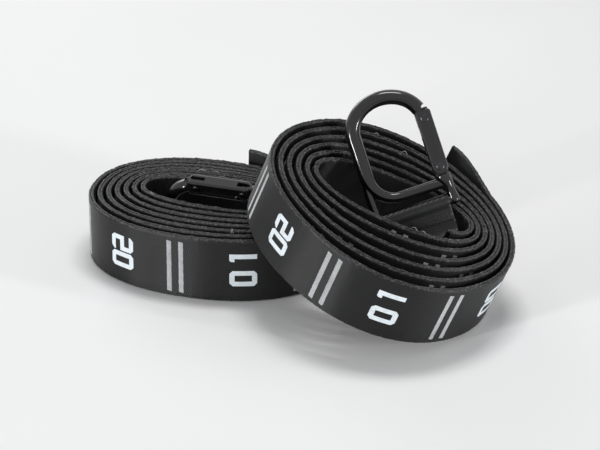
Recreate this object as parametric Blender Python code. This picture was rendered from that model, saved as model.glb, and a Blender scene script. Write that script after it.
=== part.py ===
"""A pair of rolled, numbered adjustment straps, each with a fixed-eye carabiner on its inner end.

Each strap is two plies of webbing: a base ply, whose inner end is looped round the carabiner's slot
bar, and an outer ply on top of it. Each is wound into an oval roll round a long hollow. The left roll
lies flat on the ground with its carabiner on edge in the hollow. The right roll leans on the left one
and its carabiner stands up out of the hollow.

World axes: +X along the pair, +Y away from the front, +Z up. Sizes are in metres, angles in degrees.
"""

import math
from dataclasses import dataclass

import bmesh
import bpy
from mathutils import Matrix, Vector

MM = 0.001

# Webbing
STRAP_WIDTH = 38 * MM
PLY_THICKNESS = 1.1 * MM
PLY_GAP = 0.3 * MM
POINTS_PER_TURN = 24
TAIL_LENGTH = 40 * MM

# Carabiner frame, in its own plane: x across towards the gate, y from the slot bar to the arc
ROD_RADIUS = 4.2 * MM
BASE_BAR_RADIUS = 3.0 * MM
SLOT_BAR_RADIUS = 2.7 * MM
EAR_RADIUS = 3.2 * MM
SLOT_OPENING = 4.8 * MM
SLOT_SIDE_GAP = 0.4 * MM
POST_RADIUS = 2.6 * MM
SPINE_TO_GATE = 40.8 * MM
ARC_TOP = 66 * MM
ARC_HEIGHT = 17 * MM
CORNER_RADIUS = 15 * MM
SPINE_X = -20.3 * MM
NOSE_INSET = 0.6 * MM
POST_JOIN_RISE = 13 * MM
POST_JOIN_INSET = 1.2 * MM
POST_CORNER = 2.5 * MM
NECK_HEIGHT = 10 * MM
NECK_RADIUS = 3.9 * MM
SHOULDER_RADIUS = 4.3 * MM
HOOK_WIDTH = 5.8 * MM

# Gate, rivet, latch pin, spring and plunger
GATE_WIDTH = 9.0 * MM
GATE_DEPTH = 8.4 * MM
GATE_EDGE_BEVEL = 1.0 * MM
HINGE_HEIGHT = 19.5 * MM
RIVET_SPACING = 28.0 * MM
NOSE_MARGIN = 5.0 * MM
RIVET_RADIUS = 1.4 * MM
RIVET_HEAD_RADIUS = 2.2 * MM
RIVET_HEAD_HEIGHT = 0.5 * MM
TONGUE_THICKNESS = 3.0 * MM
LUG_RADIUS = 3.2 * MM
CAM_RISE = 0.5 * MM
GATE_OPENING = 25
HOOK_LIP = 1.9 * MM
RUNNING_CLEARANCE = 0.3 * MM
GROOVE_DEPTH = 0.8 * MM
GROOVE_WIDTH = 3.0 * MM
BORE_RADIUS = 1.9 * MM
BORE_END = 41.0 * MM
PLUNGER_RADIUS = 1.5 * MM
PLUNGER_LENGTH = 4.0 * MM
SPRING_RADIUS = 1.2 * MM
SPRING_WIRE_RADIUS = 0.3 * MM
SPRING_CURLS = 6
SPRING_POINTS = 9

# Webbing round the slot bar
SEAT_GAP = 0.3 * MM
SEWN_MARGIN = 2 * MM
FOLD_HEIGHT = 4.6 * MM

STRAP_COLOUR = (0.016, 0.017, 0.019, 1.0)
METAL_COLOUR = (0.02, 0.02, 0.022, 1.0)
STEEL_COLOUR = (0.35, 0.36, 0.38, 1.0)

HALF_STACK = PLY_THICKNESS + PLY_GAP / 2
SLOT_BAR_TO_BASE_BAR = SLOT_BAR_RADIUS + SLOT_OPENING + BASE_BAR_RADIUS
POST_X = STRAP_WIDTH / 2 + SLOT_SIDE_GAP + POST_RADIUS
GATE_X = SPINE_X + SPINE_TO_GATE
PIN_HEIGHT = HINGE_HEIGHT + RIVET_SPACING
NOSE_HEIGHT = PIN_HEIGHT + NOSE_MARGIN + RUNNING_CLEARANCE
TINE_SLOT = TONGUE_THICKNESS + 2 * RUNNING_CLEARANCE


@dataclass(frozen=True)
class Hollow:
    """The long space that a strap is wound round, in its roll's own plane."""

    centre: tuple
    half_length: float
    half_width: float
    turn: float
    fullness: float


@dataclass(frozen=True)
class Roll:
    """One wound strap: where its lower edge lies, how it leans, and how it is wound."""

    side: str
    centre: tuple
    lean: float
    tilt: float
    turn: float
    half_right: float
    half_left: float
    half_width: float
    fullness: float
    hollow: Hollow
    start: float
    end: float
    turns: int
    tail_out: float
    tail_up: float


@dataclass(frozen=True)
class Placement:
    """Where a carabiner's slot bar lies in its roll's frame, and how the webbing reaches it.

    across points from the spine to the gate and along from the slot bar to the arc. folded_back says
    whether the webbing lies behind the frame or is pulled straight away from it.
    """

    slot: tuple
    across: tuple
    along: tuple
    folded_back: bool
    sewn_length: float
    lead_pull: float


LEFT_ROLL = Roll(
    side="left",
    centre=(-53.2 * MM, 16.6 * MM),
    lean=0.0,
    tilt=0.0,
    turn=-15.7,
    half_right=76.5 * MM,
    half_left=70.4 * MM,
    half_width=52.6 * MM,
    fullness=2.2,
    hollow=Hollow((5.8 * MM, 8.0 * MM), 43.5 * MM, 15.5 * MM, 0.0, 2.4),
    start=84.0,
    end=100.0,
    turns=7,
    tail_out=6.0 * MM,
    tail_up=5.0 * MM,
)
RIGHT_ROLL = Roll(
    side="right",
    centre=(40.9 * MM, -28.8 * MM),
    lean=19.5,
    tilt=9.2,
    turn=-47.9,
    half_right=74.3 * MM,
    half_left=78.2 * MM,
    half_width=70.0 * MM,
    fullness=2.15,
    hollow=Hollow((-2.8 * MM, 6.0 * MM), 44.5 * MM, 16.0 * MM, 38.0, 2.3),
    start=105.0,
    end=-5.0,
    turns=6,
    tail_out=3.0 * MM,
    tail_up=6.0 * MM,
)
LEFT_PLACEMENT = Placement(
    slot=(43.3 * MM, 7.3 * MM, 24.5 * MM),
    across=(0.0, -0.208, 0.978),
    along=(-1.0, 0.0, 0.0),
    folded_back=True,
    sewn_length=12 * MM,
    lead_pull=30 * MM,
)
RIGHT_PLACEMENT = Placement(
    slot=(6.3 * MM, 16.2 * MM, 33.1 * MM),
    across=(0.393, 0.736, 0.551),
    along=(-0.797, -0.026, 0.603),
    folded_back=False,
    sewn_length=10 * MM,
    lead_pull=25 * MM,
)


def material(name, colour, metallic, roughness):
    """Return a plain material with the given surface values."""
    made = bpy.data.materials.new(name)
    made.use_nodes = True
    shader = made.node_tree.nodes["Principled BSDF"]
    shader.inputs["Base Color"].default_value = colour
    shader.inputs["Metallic"].default_value = metallic
    shader.inputs["Roughness"].default_value = roughness
    return made


def mesh_from(name, points, faces):
    """Return a mesh with its faces turned outwards."""
    builder = bmesh.new()
    corners = [builder.verts.new(point) for point in points]
    for face in faces:
        builder.faces.new([corners[index] for index in face])
    bmesh.ops.recalc_face_normals(builder, faces=builder.faces)
    mesh = bpy.data.meshes.new(name)
    builder.to_mesh(mesh)
    builder.free()
    return mesh


def skin(name, rings):
    """Return a closed mesh through rings of equal point counts, capped at both ends."""
    count = len(rings[0])
    points = [point for ring in rings for point in ring]
    faces = []
    for ring in range(len(rings) - 1):
        first = ring * count
        for corner in range(count):
            following = (corner + 1) % count
            next_ring = first + count
            faces.append((first + corner, first + following, next_ring + following, next_ring + corner))
    faces.append(tuple(range(count)))
    faces.append(tuple(range(len(points) - count, len(points))))
    return mesh_from(name, points, faces)


def rod(name, path, radii, sides=14, depth=None):
    """Return a round rod swept along a path in the xy plane, with a radius for each point."""
    rings = []
    for index, point in enumerate(path):
        before = path[max(index - 1, 0)]
        after = path[min(index + 1, len(path) - 1)]
        heading = (Vector(after) - Vector(before)).normalized()
        sideways = Vector((-heading.y, heading.x, 0))
        radius = radii[index]
        height = depth if depth else radius
        ring = []
        for corner in range(sides):
            angle = 2 * math.pi * corner / sides
            offset = sideways * (radius * math.cos(angle)) + Vector((0, 0, height * math.sin(angle)))
            ring.append(Vector((point[0], point[1], 0)) + offset)
        rings.append(ring)
    return skin(name, rings)


def slab(name, outline, thickness):
    """Return a flat plate with the given outline, centred on the plane of the carabiner."""
    rings = [[Vector((x, y, level)) for x, y in outline] for level in (-thickness / 2, thickness / 2)]
    return skin(name, rings)


def arc_points(centre, half_x, half_y, first, last, count):
    """Return points on an ellipse between two angles."""
    points = []
    for step in range(count + 1):
        angle = math.radians(first + (last - first) * step / count)
        points.append((centre[0] + half_x * math.cos(angle), centre[1] + half_y * math.sin(angle)))
    return points


def pin(name, x, y, radius, length, sides=16):
    """Return a cylinder across the carabiner's plane."""
    ring = arc_points((x, y), radius, radius, 0, 360 - 360 / sides, sides - 1)
    return slab(name, ring, length)


def combine(base, tools, operation):
    """Return the mesh left by joining or cutting a mesh with others, one after another."""
    for tool in tools:
        body = bpy.data.objects.new("body", base)
        cutter = bpy.data.objects.new("cutter", tool)
        for item in (body, cutter):
            bpy.context.scene.collection.objects.link(item)
        step = body.modifiers.new("step", "BOOLEAN")
        step.operation = operation
        step.solver = "EXACT"
        step.object = cutter
        graph = bpy.context.evaluated_depsgraph_get()
        base = bpy.data.meshes.new_from_object(body.evaluated_get(graph))
        for item in (body, cutter):
            bpy.data.objects.remove(item)
    return base


def finish_mesh(mesh, name):
    """Name a mesh, shade it smooth and keep its hard edges sharp."""
    mesh.name = name
    mesh.shade_smooth()
    mesh.set_sharp_from_angle(angle=math.radians(35))
    return mesh


def frame_mesh():
    """Return the carabiner's one-piece frame: D, base bar, webbing slot and both tongues."""
    arc_centre = (SPINE_X + SPINE_TO_GATE / 2 - 0.5 * MM, ARC_TOP - ARC_HEIGHT)
    arc_left = arc_centre[0] - SPINE_X
    nose_x = GATE_X - NOSE_INSET
    arc = arc_points(arc_centre, arc_left, ARC_HEIGHT, 180, 90, 8)
    arc += arc_points(arc_centre, nose_x - arc_centre[0], ARC_HEIGHT, 90, 14, 7)[1:]
    base_y = SLOT_BAR_TO_BASE_BAR
    corner_centre = (SPINE_X + CORNER_RADIUS, base_y + CORNER_RADIUS)
    corner = arc_points(corner_centre, CORNER_RADIUS, CORNER_RADIUS, 180, 270, 8)
    path = list(reversed(arc)) + corner + [(POST_X - 2 * POST_RADIUS, base_y), (POST_X, base_y)]
    path.insert(0, (GATE_X - 0.2 * MM, NOSE_HEIGHT))
    bend = len(arc) + 1
    radii = []
    for index in range(len(path)):
        share = min(max((index - bend) / 7, 0), 1)
        radii.append(ROD_RADIUS + (BASE_BAR_RADIUS - ROD_RADIUS) * share)
    d_shape = rod("d_shape", path, radii)

    left_x = -POST_X
    slot_frame = [(left_x + POST_JOIN_INSET, base_y + POST_JOIN_RISE), (left_x, base_y + POST_JOIN_RISE / 2)]
    slot_frame += [(left_x, POST_CORNER), (left_x + POST_CORNER / 3, POST_CORNER / 3)]
    slot_frame += [(left_x + POST_CORNER, 0), (0, 0), (POST_X - POST_CORNER, 0), (POST_X, 0)]
    slot_radii = [POST_RADIUS] * 3 + [SLOT_BAR_RADIUS] * 5
    slot_bar = rod("slot_bar", slot_frame, slot_radii, sides=12)

    shoulder_top = HINGE_HEIGHT - GATE_WIDTH / 2 - RUNNING_CLEARANCE
    post_radii = [EAR_RADIUS * 0.6, EAR_RADIUS, EAR_RADIUS * 0.85]
    post_radii += [NECK_RADIUS, SHOULDER_RADIUS, SHOULDER_RADIUS]
    slot_side = STRAP_WIDTH / 2 + SLOT_SIDE_GAP
    post_path = [(slot_side + EAR_RADIUS, -EAR_RADIUS * 0.75), (slot_side + EAR_RADIUS, 0)]
    post_path += [(slot_side + post_radii[2], 0.6 * NECK_HEIGHT), (GATE_X + 0.9 * MM, NECK_HEIGHT)]
    post_path += [(GATE_X, shoulder_top - 2 * MM), (GATE_X, shoulder_top)]
    post = rod("post", post_path, post_radii, sides=12)

    lug_side = LUG_RADIUS + CAM_RISE
    lug = [(GATE_X + LUG_RADIUS, shoulder_top - 1 * MM)] + cam_points()
    lug = slab("lug", lug + [(GATE_X - lug_side, shoulder_top - 1 * MM)], TONGUE_THICKNESS)
    notch_low = PIN_HEIGHT - RIVET_RADIUS - RUNNING_CLEARANCE
    notch_high = PIN_HEIGHT + RIVET_RADIUS + RUNNING_CLEARANCE
    neck_inner = GATE_X - 2.4 * MM
    hook_outer = neck_inner + HOOK_WIDTH
    notch_back = GATE_X + RIVET_RADIUS + RUNNING_CLEARANCE
    lip_inner = GATE_X - 0.8 * MM
    hook = [(neck_inner, NOSE_HEIGHT + 1 * MM), (neck_inner, notch_high), (notch_back, notch_high)]
    hook += [(notch_back, notch_low), (lip_inner, notch_low), (lip_inner, notch_low - HOOK_LIP)]
    hook += [(hook_outer, notch_low - HOOK_LIP), (hook_outer, NOSE_HEIGHT + 1 * MM)]
    hook = slab("hook", hook, TONGUE_THICKNESS)
    beside = GATE_WIDTH
    gate_room = rectangle(GATE_X - beside, shoulder_top, GATE_X + beside, NOSE_HEIGHT)
    gate_space = slab("gate_space", gate_room, 3 * GATE_DEPTH)
    d_shape = combine(d_shape, [gate_space], "DIFFERENCE")
    frame = combine(d_shape, [slot_bar, post, lug, hook], "UNION")
    rivet_hole = pin("rivet_hole", GATE_X, HINGE_HEIGHT, RIVET_RADIUS + RUNNING_CLEARANCE, 2 * GATE_DEPTH)
    frame = combine(frame, [rivet_hole], "DIFFERENCE")
    return finish_mesh(frame, "carabiner_frame")


def cam_points():
    """Return the lug's rounded top: its radius grows where the plunger rides as the gate opens."""
    points = []
    for step in range(13):
        degree = 15 * step
        share = min(max((degree - 90) / GATE_OPENING, 0), 1)
        radius = LUG_RADIUS + CAM_RISE * share
        angle = math.radians(degree)
        points.append((GATE_X + radius * math.cos(angle), HINGE_HEIGHT + radius * math.sin(angle)))
    return points


def gate_mesh():
    """Return the gate: a bar with a fork at each end, side grooves and a bore for its spring."""
    half = GATE_WIDTH / 2
    foot = arc_points((0, 0), half, half, 180, 360, 12)
    tip = RIVET_SPACING + NOSE_MARGIN
    outline = foot + [(half, tip - 1 * MM), (half - 1 * MM, tip), (1 * MM - half, tip), (-half, tip - 1 * MM)]
    bar = slab("bar", outline, GATE_DEPTH)
    builder = bmesh.new()
    builder.from_mesh(bar)
    rims = [edge for edge in builder.edges if abs(edge.verts[0].co.z - edge.verts[1].co.z) < 1e-6]
    bmesh.ops.bevel(builder, geom=rims, offset=GATE_EDGE_BEVEL, segments=2, profile=0.5, affect="EDGES")
    builder.to_mesh(bar)
    builder.free()
    wide = GATE_WIDTH
    fork_floor = LUG_RADIUS + CAM_RISE + RUNNING_CLEARANCE
    hinge_fork = slab("hinge_fork", rectangle(-wide, -wide, wide, fork_floor), TINE_SLOT)
    nose_low = RIVET_SPACING - RIVET_RADIUS - HOOK_LIP - 3 * RUNNING_CLEARANCE
    nose_fork = slab("nose_fork", rectangle(-wide, nose_low, wide, tip + wide), TINE_SLOT)
    cuts = [hinge_fork, nose_fork]
    groove_length = RIVET_SPACING - 2 * RIVET_HEAD_RADIUS - 2 * MM
    for level in (-1, 1):
        groove_outline = stadium(-1.0 * MM, RIVET_SPACING / 2, GROOVE_WIDTH, groove_length)
        groove = slab("groove", groove_outline, 2 * GROOVE_DEPTH)
        groove.transform(Matrix.Translation((0, 0, level * GATE_DEPTH / 2)))
        cuts.append(groove)
    bore_top = BORE_END - HINGE_HEIGHT
    bore = skin("bore", ring_pair(BORE_RADIUS, LUG_RADIUS - 1 * MM, bore_top, 14))
    cuts.append(bore)
    for height in (0, RIVET_SPACING):
        cuts.append(pin("hole", 0, height, RIVET_RADIUS + RUNNING_CLEARANCE, 2 * GATE_DEPTH))
    return finish_mesh(combine(bar, cuts, "DIFFERENCE"), "gate")


def rectangle(left, low, right, high):
    """Return the corners of a rectangle."""
    return [(left, low), (right, low), (right, high), (left, high)]


def stadium(x, y, width, length):
    """Return a slot outline with round ends, centred on x and y."""
    half = width / 2
    reach = length / 2 - half
    upper = arc_points((x, y + reach), half, half, 0, 180, 6)
    return upper + arc_points((x, y - reach), half, half, 180, 360, 6)


def ring_pair(radius, low, high, sides):
    """Return the two end rings of a cylinder that runs along the gate."""
    rings = []
    for height in (low, high):
        ring = []
        for corner in range(sides):
            angle = 2 * math.pi * corner / sides
            ring.append(Vector((radius * math.cos(angle), height, -radius * math.sin(angle))))
        rings.append(ring)
    return rings


def rivet_mesh(name):
    """Return a rivet across the gate with a low head at each end."""
    face = GATE_DEPTH / 2 + RUNNING_CLEARANCE
    levels = [(-face - RIVET_HEAD_HEIGHT, 0.75 * RIVET_HEAD_RADIUS)]
    levels += [(-face - RIVET_HEAD_HEIGHT / 2, RIVET_HEAD_RADIUS)]
    levels += [(-face, RIVET_HEAD_RADIUS), (-face, RIVET_RADIUS)]
    levels += [(-level, radius) for level, radius in reversed(levels)]
    rings = []
    for level, radius in levels:
        rings.append([Vector((x, y, level)) for x, y in arc_points((0, 0), radius, radius, 0, 337.5, 15)])
    return finish_mesh(skin(name, rings), name)


def plunger_mesh():
    """Return the plunger: a short pin with a rounded tip on the lug."""
    low = LUG_RADIUS + RUNNING_CLEARANCE
    rings = []
    for rise, share in ((0, 0.45), (0.4 * MM, 0.8), (1 * MM, 1.0), (PLUNGER_LENGTH, 1.0)):
        rings += ring_pair(PLUNGER_RADIUS * share, low + rise, low + rise, 14)[:1]
    return finish_mesh(skin("plunger", rings), "plunger")


def spring_mesh():
    """Return the compression spring between the plunger and the end of the bore."""
    low = LUG_RADIUS + PLUNGER_LENGTH + 2 * RUNNING_CLEARANCE + SPRING_WIRE_RADIUS
    high = BORE_END - HINGE_HEIGHT - RUNNING_CLEARANCE - SPRING_WIRE_RADIUS
    steps = SPRING_CURLS * SPRING_POINTS
    rings = []
    for step in range(steps + 1):
        angle = 2 * math.pi * step / SPRING_POINTS
        out = Vector((math.cos(angle), 0, math.sin(angle)))
        centre = out * SPRING_RADIUS + Vector((0, low + (high - low) * step / steps, 0))
        ring = []
        for corner in range(6):
            turn = 2 * math.pi * corner / 6
            wire = out * math.cos(turn) + Vector((0, 1, 0)) * math.sin(turn)
            ring.append(centre + wire * SPRING_WIRE_RADIUS)
        rings.append(ring)
    pitch = (high - low) / SPRING_CURLS
    print(f"spring: least gap between curls {(pitch - 2 * SPRING_WIRE_RADIUS) / MM:.2f} mm")
    return finish_mesh(skin("spring", rings), "spring")


def power(value, exponent):
    """Return a signed power."""
    return math.copysign(abs(value) ** exponent, value)


def oval(angle, half_right, half_left, half_width, fullness):
    """Return the point of a full-cornered oval at a parameter angle in degrees."""
    across = math.cos(math.radians(angle))
    up = math.sin(math.radians(angle))
    half_length = half_right if across > 0 else half_left
    return Vector((half_length * power(across, 2 / fullness), half_width * power(up, 2 / fullness)))


def winding(roll):
    """Return the strap's mid-line in the roll's plane, from the cut end clockwise to the inner end."""
    step = 360 / POINTS_PER_TURN
    total = roll.start - roll.end + 360 * roll.turns
    angles = [step * index for index in range(int(total / step) + 1)] + [total]
    if angles[-1] - angles[-2] < step / 3:
        angles.pop(-2)
    hollow = roll.hollow
    tilt = Matrix.Rotation(math.radians(hollow.turn), 2)
    points = []
    for turned in angles:
        angle = roll.start - turned
        outer = oval(angle, roll.half_right - HALF_STACK, roll.half_left - HALF_STACK,
                     roll.half_width - HALF_STACK, roll.fullness)
        inner = tilt @ oval(angle - hollow.turn, hollow.half_length, hollow.half_length,
                            hollow.half_width, hollow.fullness) + Vector(hollow.centre)
        points.append(outer.lerp(inner, turned / total))
    return points


def headings(points):
    """Return the unit direction of travel at each point of a line."""
    found = []
    for index in range(len(points)):
        before = points[max(index - 1, 0)]
        after = points[min(index + 1, len(points) - 1)]
        found.append((after - before).normalized())
    return found


def line_length(points):
    """Return the length of a line through points."""
    return sum((b - a).length for a, b in zip(points, points[1:]))


def ply_line(roll, offset):
    """Return one ply's mid-line, offset outwards from the strap's, as points in the roll's frame."""
    flat = winding(roll)
    travelled = 0.0
    line = []
    for index, heading in enumerate(headings(flat)):
        if index:
            travelled += (flat[index] - flat[index - 1]).length
        share = max(1 - travelled / TAIL_LENGTH, 0)
        lift = share * share * (3 - 2 * share)
        outwards = Vector((-heading.y, heading.x))
        place = flat[index] + outwards * (offset + roll.tail_out * lift)
        line.append(Vector((place.x, place.y, STRAP_WIDTH / 2 + roll.tail_up * lift)))
    return line


def least_gap(line, thickness):
    """Return the least clear distance between neighbouring turns of a flat line, measured on points."""
    dense = []
    for first, second in zip(line, line[1:]):
        for step in range(4):
            dense.append(first.lerp(second, step / 4))
    least = 1.0
    apart = POINTS_PER_TURN * 2
    for index, point in enumerate(dense):
        for other in dense[index + apart:index + 6 * POINTS_PER_TURN]:
            least = min(least, (other - point).length)
    return least - thickness


def ribbon(name, line, widths):
    """Return a closed flat band along a line, with its width direction given at each point."""
    points = []
    faces = [(0, 1, 2, 3)]
    for point, heading, width in zip(line, headings(line), widths):
        across = (width - heading * width.dot(heading)).normalized() * (STRAP_WIDTH / 2)
        through = across.normalized().cross(heading) * (PLY_THICKNESS / 2)
        points += [point - across - through, point + across - through,
                   point + across + through, point - across + through]
    for first in range(0, len(points) - 4, 4):
        low_a, high_a, high_b, low_b = range(first, first + 4)
        low_c, high_c, high_d, low_d = range(first + 4, first + 8)
        faces += [(low_a, high_a, high_c), (low_a, high_c, low_c)]
        faces += [(high_b, low_b, high_d), (low_b, low_d, high_d)]
        faces += [(high_a, high_b, high_d, high_c), (low_a, low_c, low_d, low_b)]
    last = len(points) - 4
    faces.append((last, last + 1, last + 2, last + 3))
    return finish_mesh(mesh_from(name, points, faces), name)


def roll_matrix(roll):
    """Return the roll's frame in the world, with its lowest corner on the ground."""
    lean, tilt = math.radians(roll.lean), math.radians(roll.tilt)
    up = Vector((math.sin(lean) * math.cos(tilt), -math.sin(tilt), math.cos(lean) * math.cos(tilt)))
    side = (Vector((1, 0, 0)) - up * up.x).normalized()
    back = up.cross(side)
    turn = math.radians(roll.turn)
    first = side * math.cos(turn) + back * math.sin(turn)
    second = up.cross(first)
    lowest = 0.0
    for degree in range(0, 360, 3):
        corner = oval(degree, roll.half_right, roll.half_left, roll.half_width, roll.fullness)
        lowest = min(lowest, first.z * corner.x + second.z * corner.y)
    axes = Matrix((first, second, up)).transposed().to_4x4()
    return Matrix.Translation((roll.centre[0], roll.centre[1], -lowest)) @ axes


def carabiner_matrix(placement):
    """Return the carabiner's frame in its roll's: x towards the gate, y towards the arc."""
    y_axis = Vector(placement.along).normalized()
    x_axis = Vector(placement.across)
    x_axis = (x_axis - y_axis * x_axis.dot(y_axis)).normalized()
    axes = Matrix((x_axis, y_axis, x_axis.cross(y_axis))).transposed().to_4x4()
    return Matrix.Translation(placement.slot) @ axes


def smooth_line(knots, steps):
    """Return points on a smooth curve through knots, with a number of steps between each two."""
    padded = [knots[0] * 2 - knots[1]] + knots + [knots[-1] * 2 - knots[-2]]
    points = []
    for index in range(1, len(padded) - 2):
        a, b, c, d = padded[index - 1:index + 3]
        for step in range(steps):
            t = step / steps
            points.append(0.5 * (2 * b + (c - a) * t + (2 * a - 5 * b + 4 * c - d) * t ** 2
                                 + (3 * b - a - 3 * c + d) * t ** 3))
    points.append(knots[-1])
    return points


def bar_loop(placement):
    """Return the webbing's path round the slot bar, seen along the bar.

    A point's x runs away from the frame and its y to the back of it.
    """
    sewn = placement.sewn_length
    round_bar = SLOT_BAR_RADIUS + SEAT_GAP + PLY_THICKNESS / 2
    beside = (PLY_THICKNESS + PLY_GAP + 0.1 * MM) / 2
    if placement.folded_back:
        inner = FOLD_HEIGHT
        outer = inner + 2 * beside
        knots = [(-sewn - SEWN_MARGIN, outer), (-8 * MM, outer)]
        knots += [(-3 * MM, outer - 0.7 * MM), (1.8 * MM, 4.5 * MM)]
        for degree in (35, 0, -35, -70, -105, -140, -175):
            angle = math.radians(degree)
            knots.append((round_bar * math.cos(angle), round_bar * math.sin(angle)))
        knots += [(-4.3 * MM, 2.4 * MM), (-6.5 * MM, inner - 0.6 * MM), (-9 * MM, inner), (-sewn, inner)]
    else:
        knots = [(sewn + SEWN_MARGIN, beside), (8 * MM, beside + 0.4 * MM), (4.2 * MM, 2.0 * MM)]
        for degree in (62, 95, 130, 165, 195, 230, 265, 298):
            angle = math.radians(degree)
            knots.append((round_bar * math.cos(angle), round_bar * math.sin(angle)))
        knots += [(4.2 * MM, -2.0 * MM), (8 * MM, -beside - 0.4 * MM), (sewn, -beside)]
    return [Vector(knot) for knot in smooth_line([Vector(knot) for knot in knots], 2)]


def lead_line(start, start_heading, end, end_heading, pull, steps=14):
    """Return the points strictly between two ends of a smooth lead."""
    points = []
    for step in range(1, steps):
        t = step / steps
        leaving = start * (2 * t ** 3 - 3 * t ** 2 + 1) + start_heading * (pull * (t ** 3 - 2 * t ** 2 + t))
        arriving = end * (3 * t ** 2 - 2 * t ** 3) + end_heading * (pull * (t ** 3 - t ** 2))
        points.append(leaving + arriving)
    return points


def base_ply(roll, placement):
    """Return the base ply: its winding, the lead out of the hollow and the loop round the slot bar."""
    metal = carabiner_matrix(placement)
    wound = ply_line(roll, -(PLY_THICKNESS + PLY_GAP) / 2)
    up = Vector((0, 0, 1))
    bar, along, front = (metal.to_3x3().col[axis].copy() for axis in range(3))
    loop = [metal.translation - along * knot.x - front * knot.y for knot in bar_loop(placement)]
    lead = lead_line(wound[-1], headings(wound)[-1], loop[0], headings(loop)[0], placement.lead_pull)
    widths = [up] * len(wound)
    for index in range(len(lead)):
        share = (index + 1) / (len(lead) + 1)
        widths.append(up.slerp(bar, share * share * (3 - 2 * share)))
    return wound + lead + loop, widths + [bar] * len(loop)


def add_node(name, mesh, look, parent, matrix=None):
    """Add an object with one material under a parent."""
    made = bpy.data.objects.new(name, mesh)
    bpy.context.scene.collection.objects.link(made)
    made.parent = parent
    if matrix is not None:
        made.matrix_local = matrix
    if look.name not in [slot.name for slot in mesh.materials if slot]:
        mesh.materials.append(look)
    return made


def add_empty(name, parent, matrix):
    """Add an empty that carries other objects."""
    made = bpy.data.objects.new(name, None)
    bpy.context.scene.collection.objects.link(made)
    made.parent = parent
    made.matrix_local = matrix
    return made


def add_strap(roll, placement, carrier, look):
    """Add one strap's two plies and report their lengths and the gap between turns."""
    outer = ply_line(roll, (PLY_THICKNESS + PLY_GAP) / 2)
    line, widths = base_ply(roll, placement)
    outer_name, base_name = roll.side + "_loop_webbing", roll.side + "_base_webbing"
    add_node(outer_name, ribbon(outer_name, outer, [Vector((0, 0, 1))] * len(outer)), look, carrier)
    add_node(base_name, ribbon(base_name, line, widths), look, carrier)
    gap = least_gap(ply_line(roll, 0.0), 2 * PLY_THICKNESS + PLY_GAP)
    print(f"{roll.side} strap: {line_length(outer):.3f} m outer ply, {line_length(line):.3f} m base ply, "
          f"least gap between turns {gap / MM:.2f} mm")


def add_carabiner(side, placement, roll_carrier, meshes, looks):
    """Add one carabiner's pieces on its slot bar axis and its gate on the rivet's axis."""
    carrier = add_empty(side + "_carabiner_axis", roll_carrier, carabiner_matrix(placement))
    hinge_place = Matrix.Translation((GATE_X, HINGE_HEIGHT, 0))
    add_node(side + "_carabiner", meshes["frame"], looks["metal"], carrier)
    add_node(side + "_gate_rivet", meshes["rivet"], looks["steel"], carrier, hinge_place)
    hinge = add_empty(side + "_gate_axis", carrier, hinge_place)
    add_node(side + "_gate", meshes["gate"], looks["metal"], hinge)
    latch_place = Matrix.Translation((0, RIVET_SPACING, 0))
    add_node(side + "_latch_pin", meshes["latch_pin"], looks["steel"], hinge, latch_place)
    add_node(side + "_gate_spring", meshes["spring"], looks["steel"], hinge)
    add_node(side + "_spring_plunger", meshes["plunger"], looks["steel"], hinge)


def stand_on_ground(origin):
    """Move the whole pair so that its box stands centred over the world's origin."""
    bpy.context.view_layer.update()
    corners = []
    for item in bpy.data.objects:
        if item.type == "MESH":
            corners += [item.matrix_world @ vertex.co for vertex in item.data.vertices]
    low = [min(corner[axis] for corner in corners) for axis in range(3)]
    high = [max(corner[axis] for corner in corners) for axis in range(3)]
    origin.location = (-(low[0] + high[0]) / 2, -(low[1] + high[1]) / 2, -low[2])
    bpy.context.view_layer.update()
    size = " x ".join(f"{(top - bottom) / MM:.1f}" for bottom, top in zip(low, high))
    print(f"size {size} mm, moved by {[round(value / MM, 2) for value in origin.location]}")


def main():
    """Build the pair."""
    for item in list(bpy.data.objects):
        bpy.data.objects.remove(item)
    looks = {
        "strap": material("webbing", STRAP_COLOUR, 0.0, 0.75),
        "metal": material("polished_black", METAL_COLOUR, 0.9, 0.2),
        "steel": material("steel", STEEL_COLOUR, 1.0, 0.3),
    }
    origin = add_empty("pair_origin", None, Matrix.Identity(4))
    meshes = {
        "frame": frame_mesh(),
        "gate": gate_mesh(),
        "rivet": rivet_mesh("gate_rivet"),
        "latch_pin": rivet_mesh("latch_pin"),
        "plunger": plunger_mesh(),
        "spring": spring_mesh(),
    }
    for roll, placement in ((LEFT_ROLL, LEFT_PLACEMENT), (RIGHT_ROLL, RIGHT_PLACEMENT)):
        carrier = add_empty(roll.side + "_roll", origin, roll_matrix(roll))
        add_strap(roll, placement, carrier, looks["strap"])
        add_carabiner(roll.side, placement, carrier, meshes, looks)
    stand_on_ground(origin)


main()
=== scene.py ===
"""Dressed model of a pair of rolled, numbered adjustment straps with fixed-eye carabiners.

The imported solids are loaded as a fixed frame. The wound webbing and the carabiner frames are rebuilt
here with finer meshes, and printed numbers, bar tacks, stitching and loose threads are added. Every
piece gets a procedural material. Distances are in metres and angles in degrees unless a name says
otherwise.
"""

import logging
import math
from collections.abc import Callable
from dataclasses import dataclass
from enum import Enum

import bmesh
import bpy
from mathutils import Matrix, Vector, noise


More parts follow.
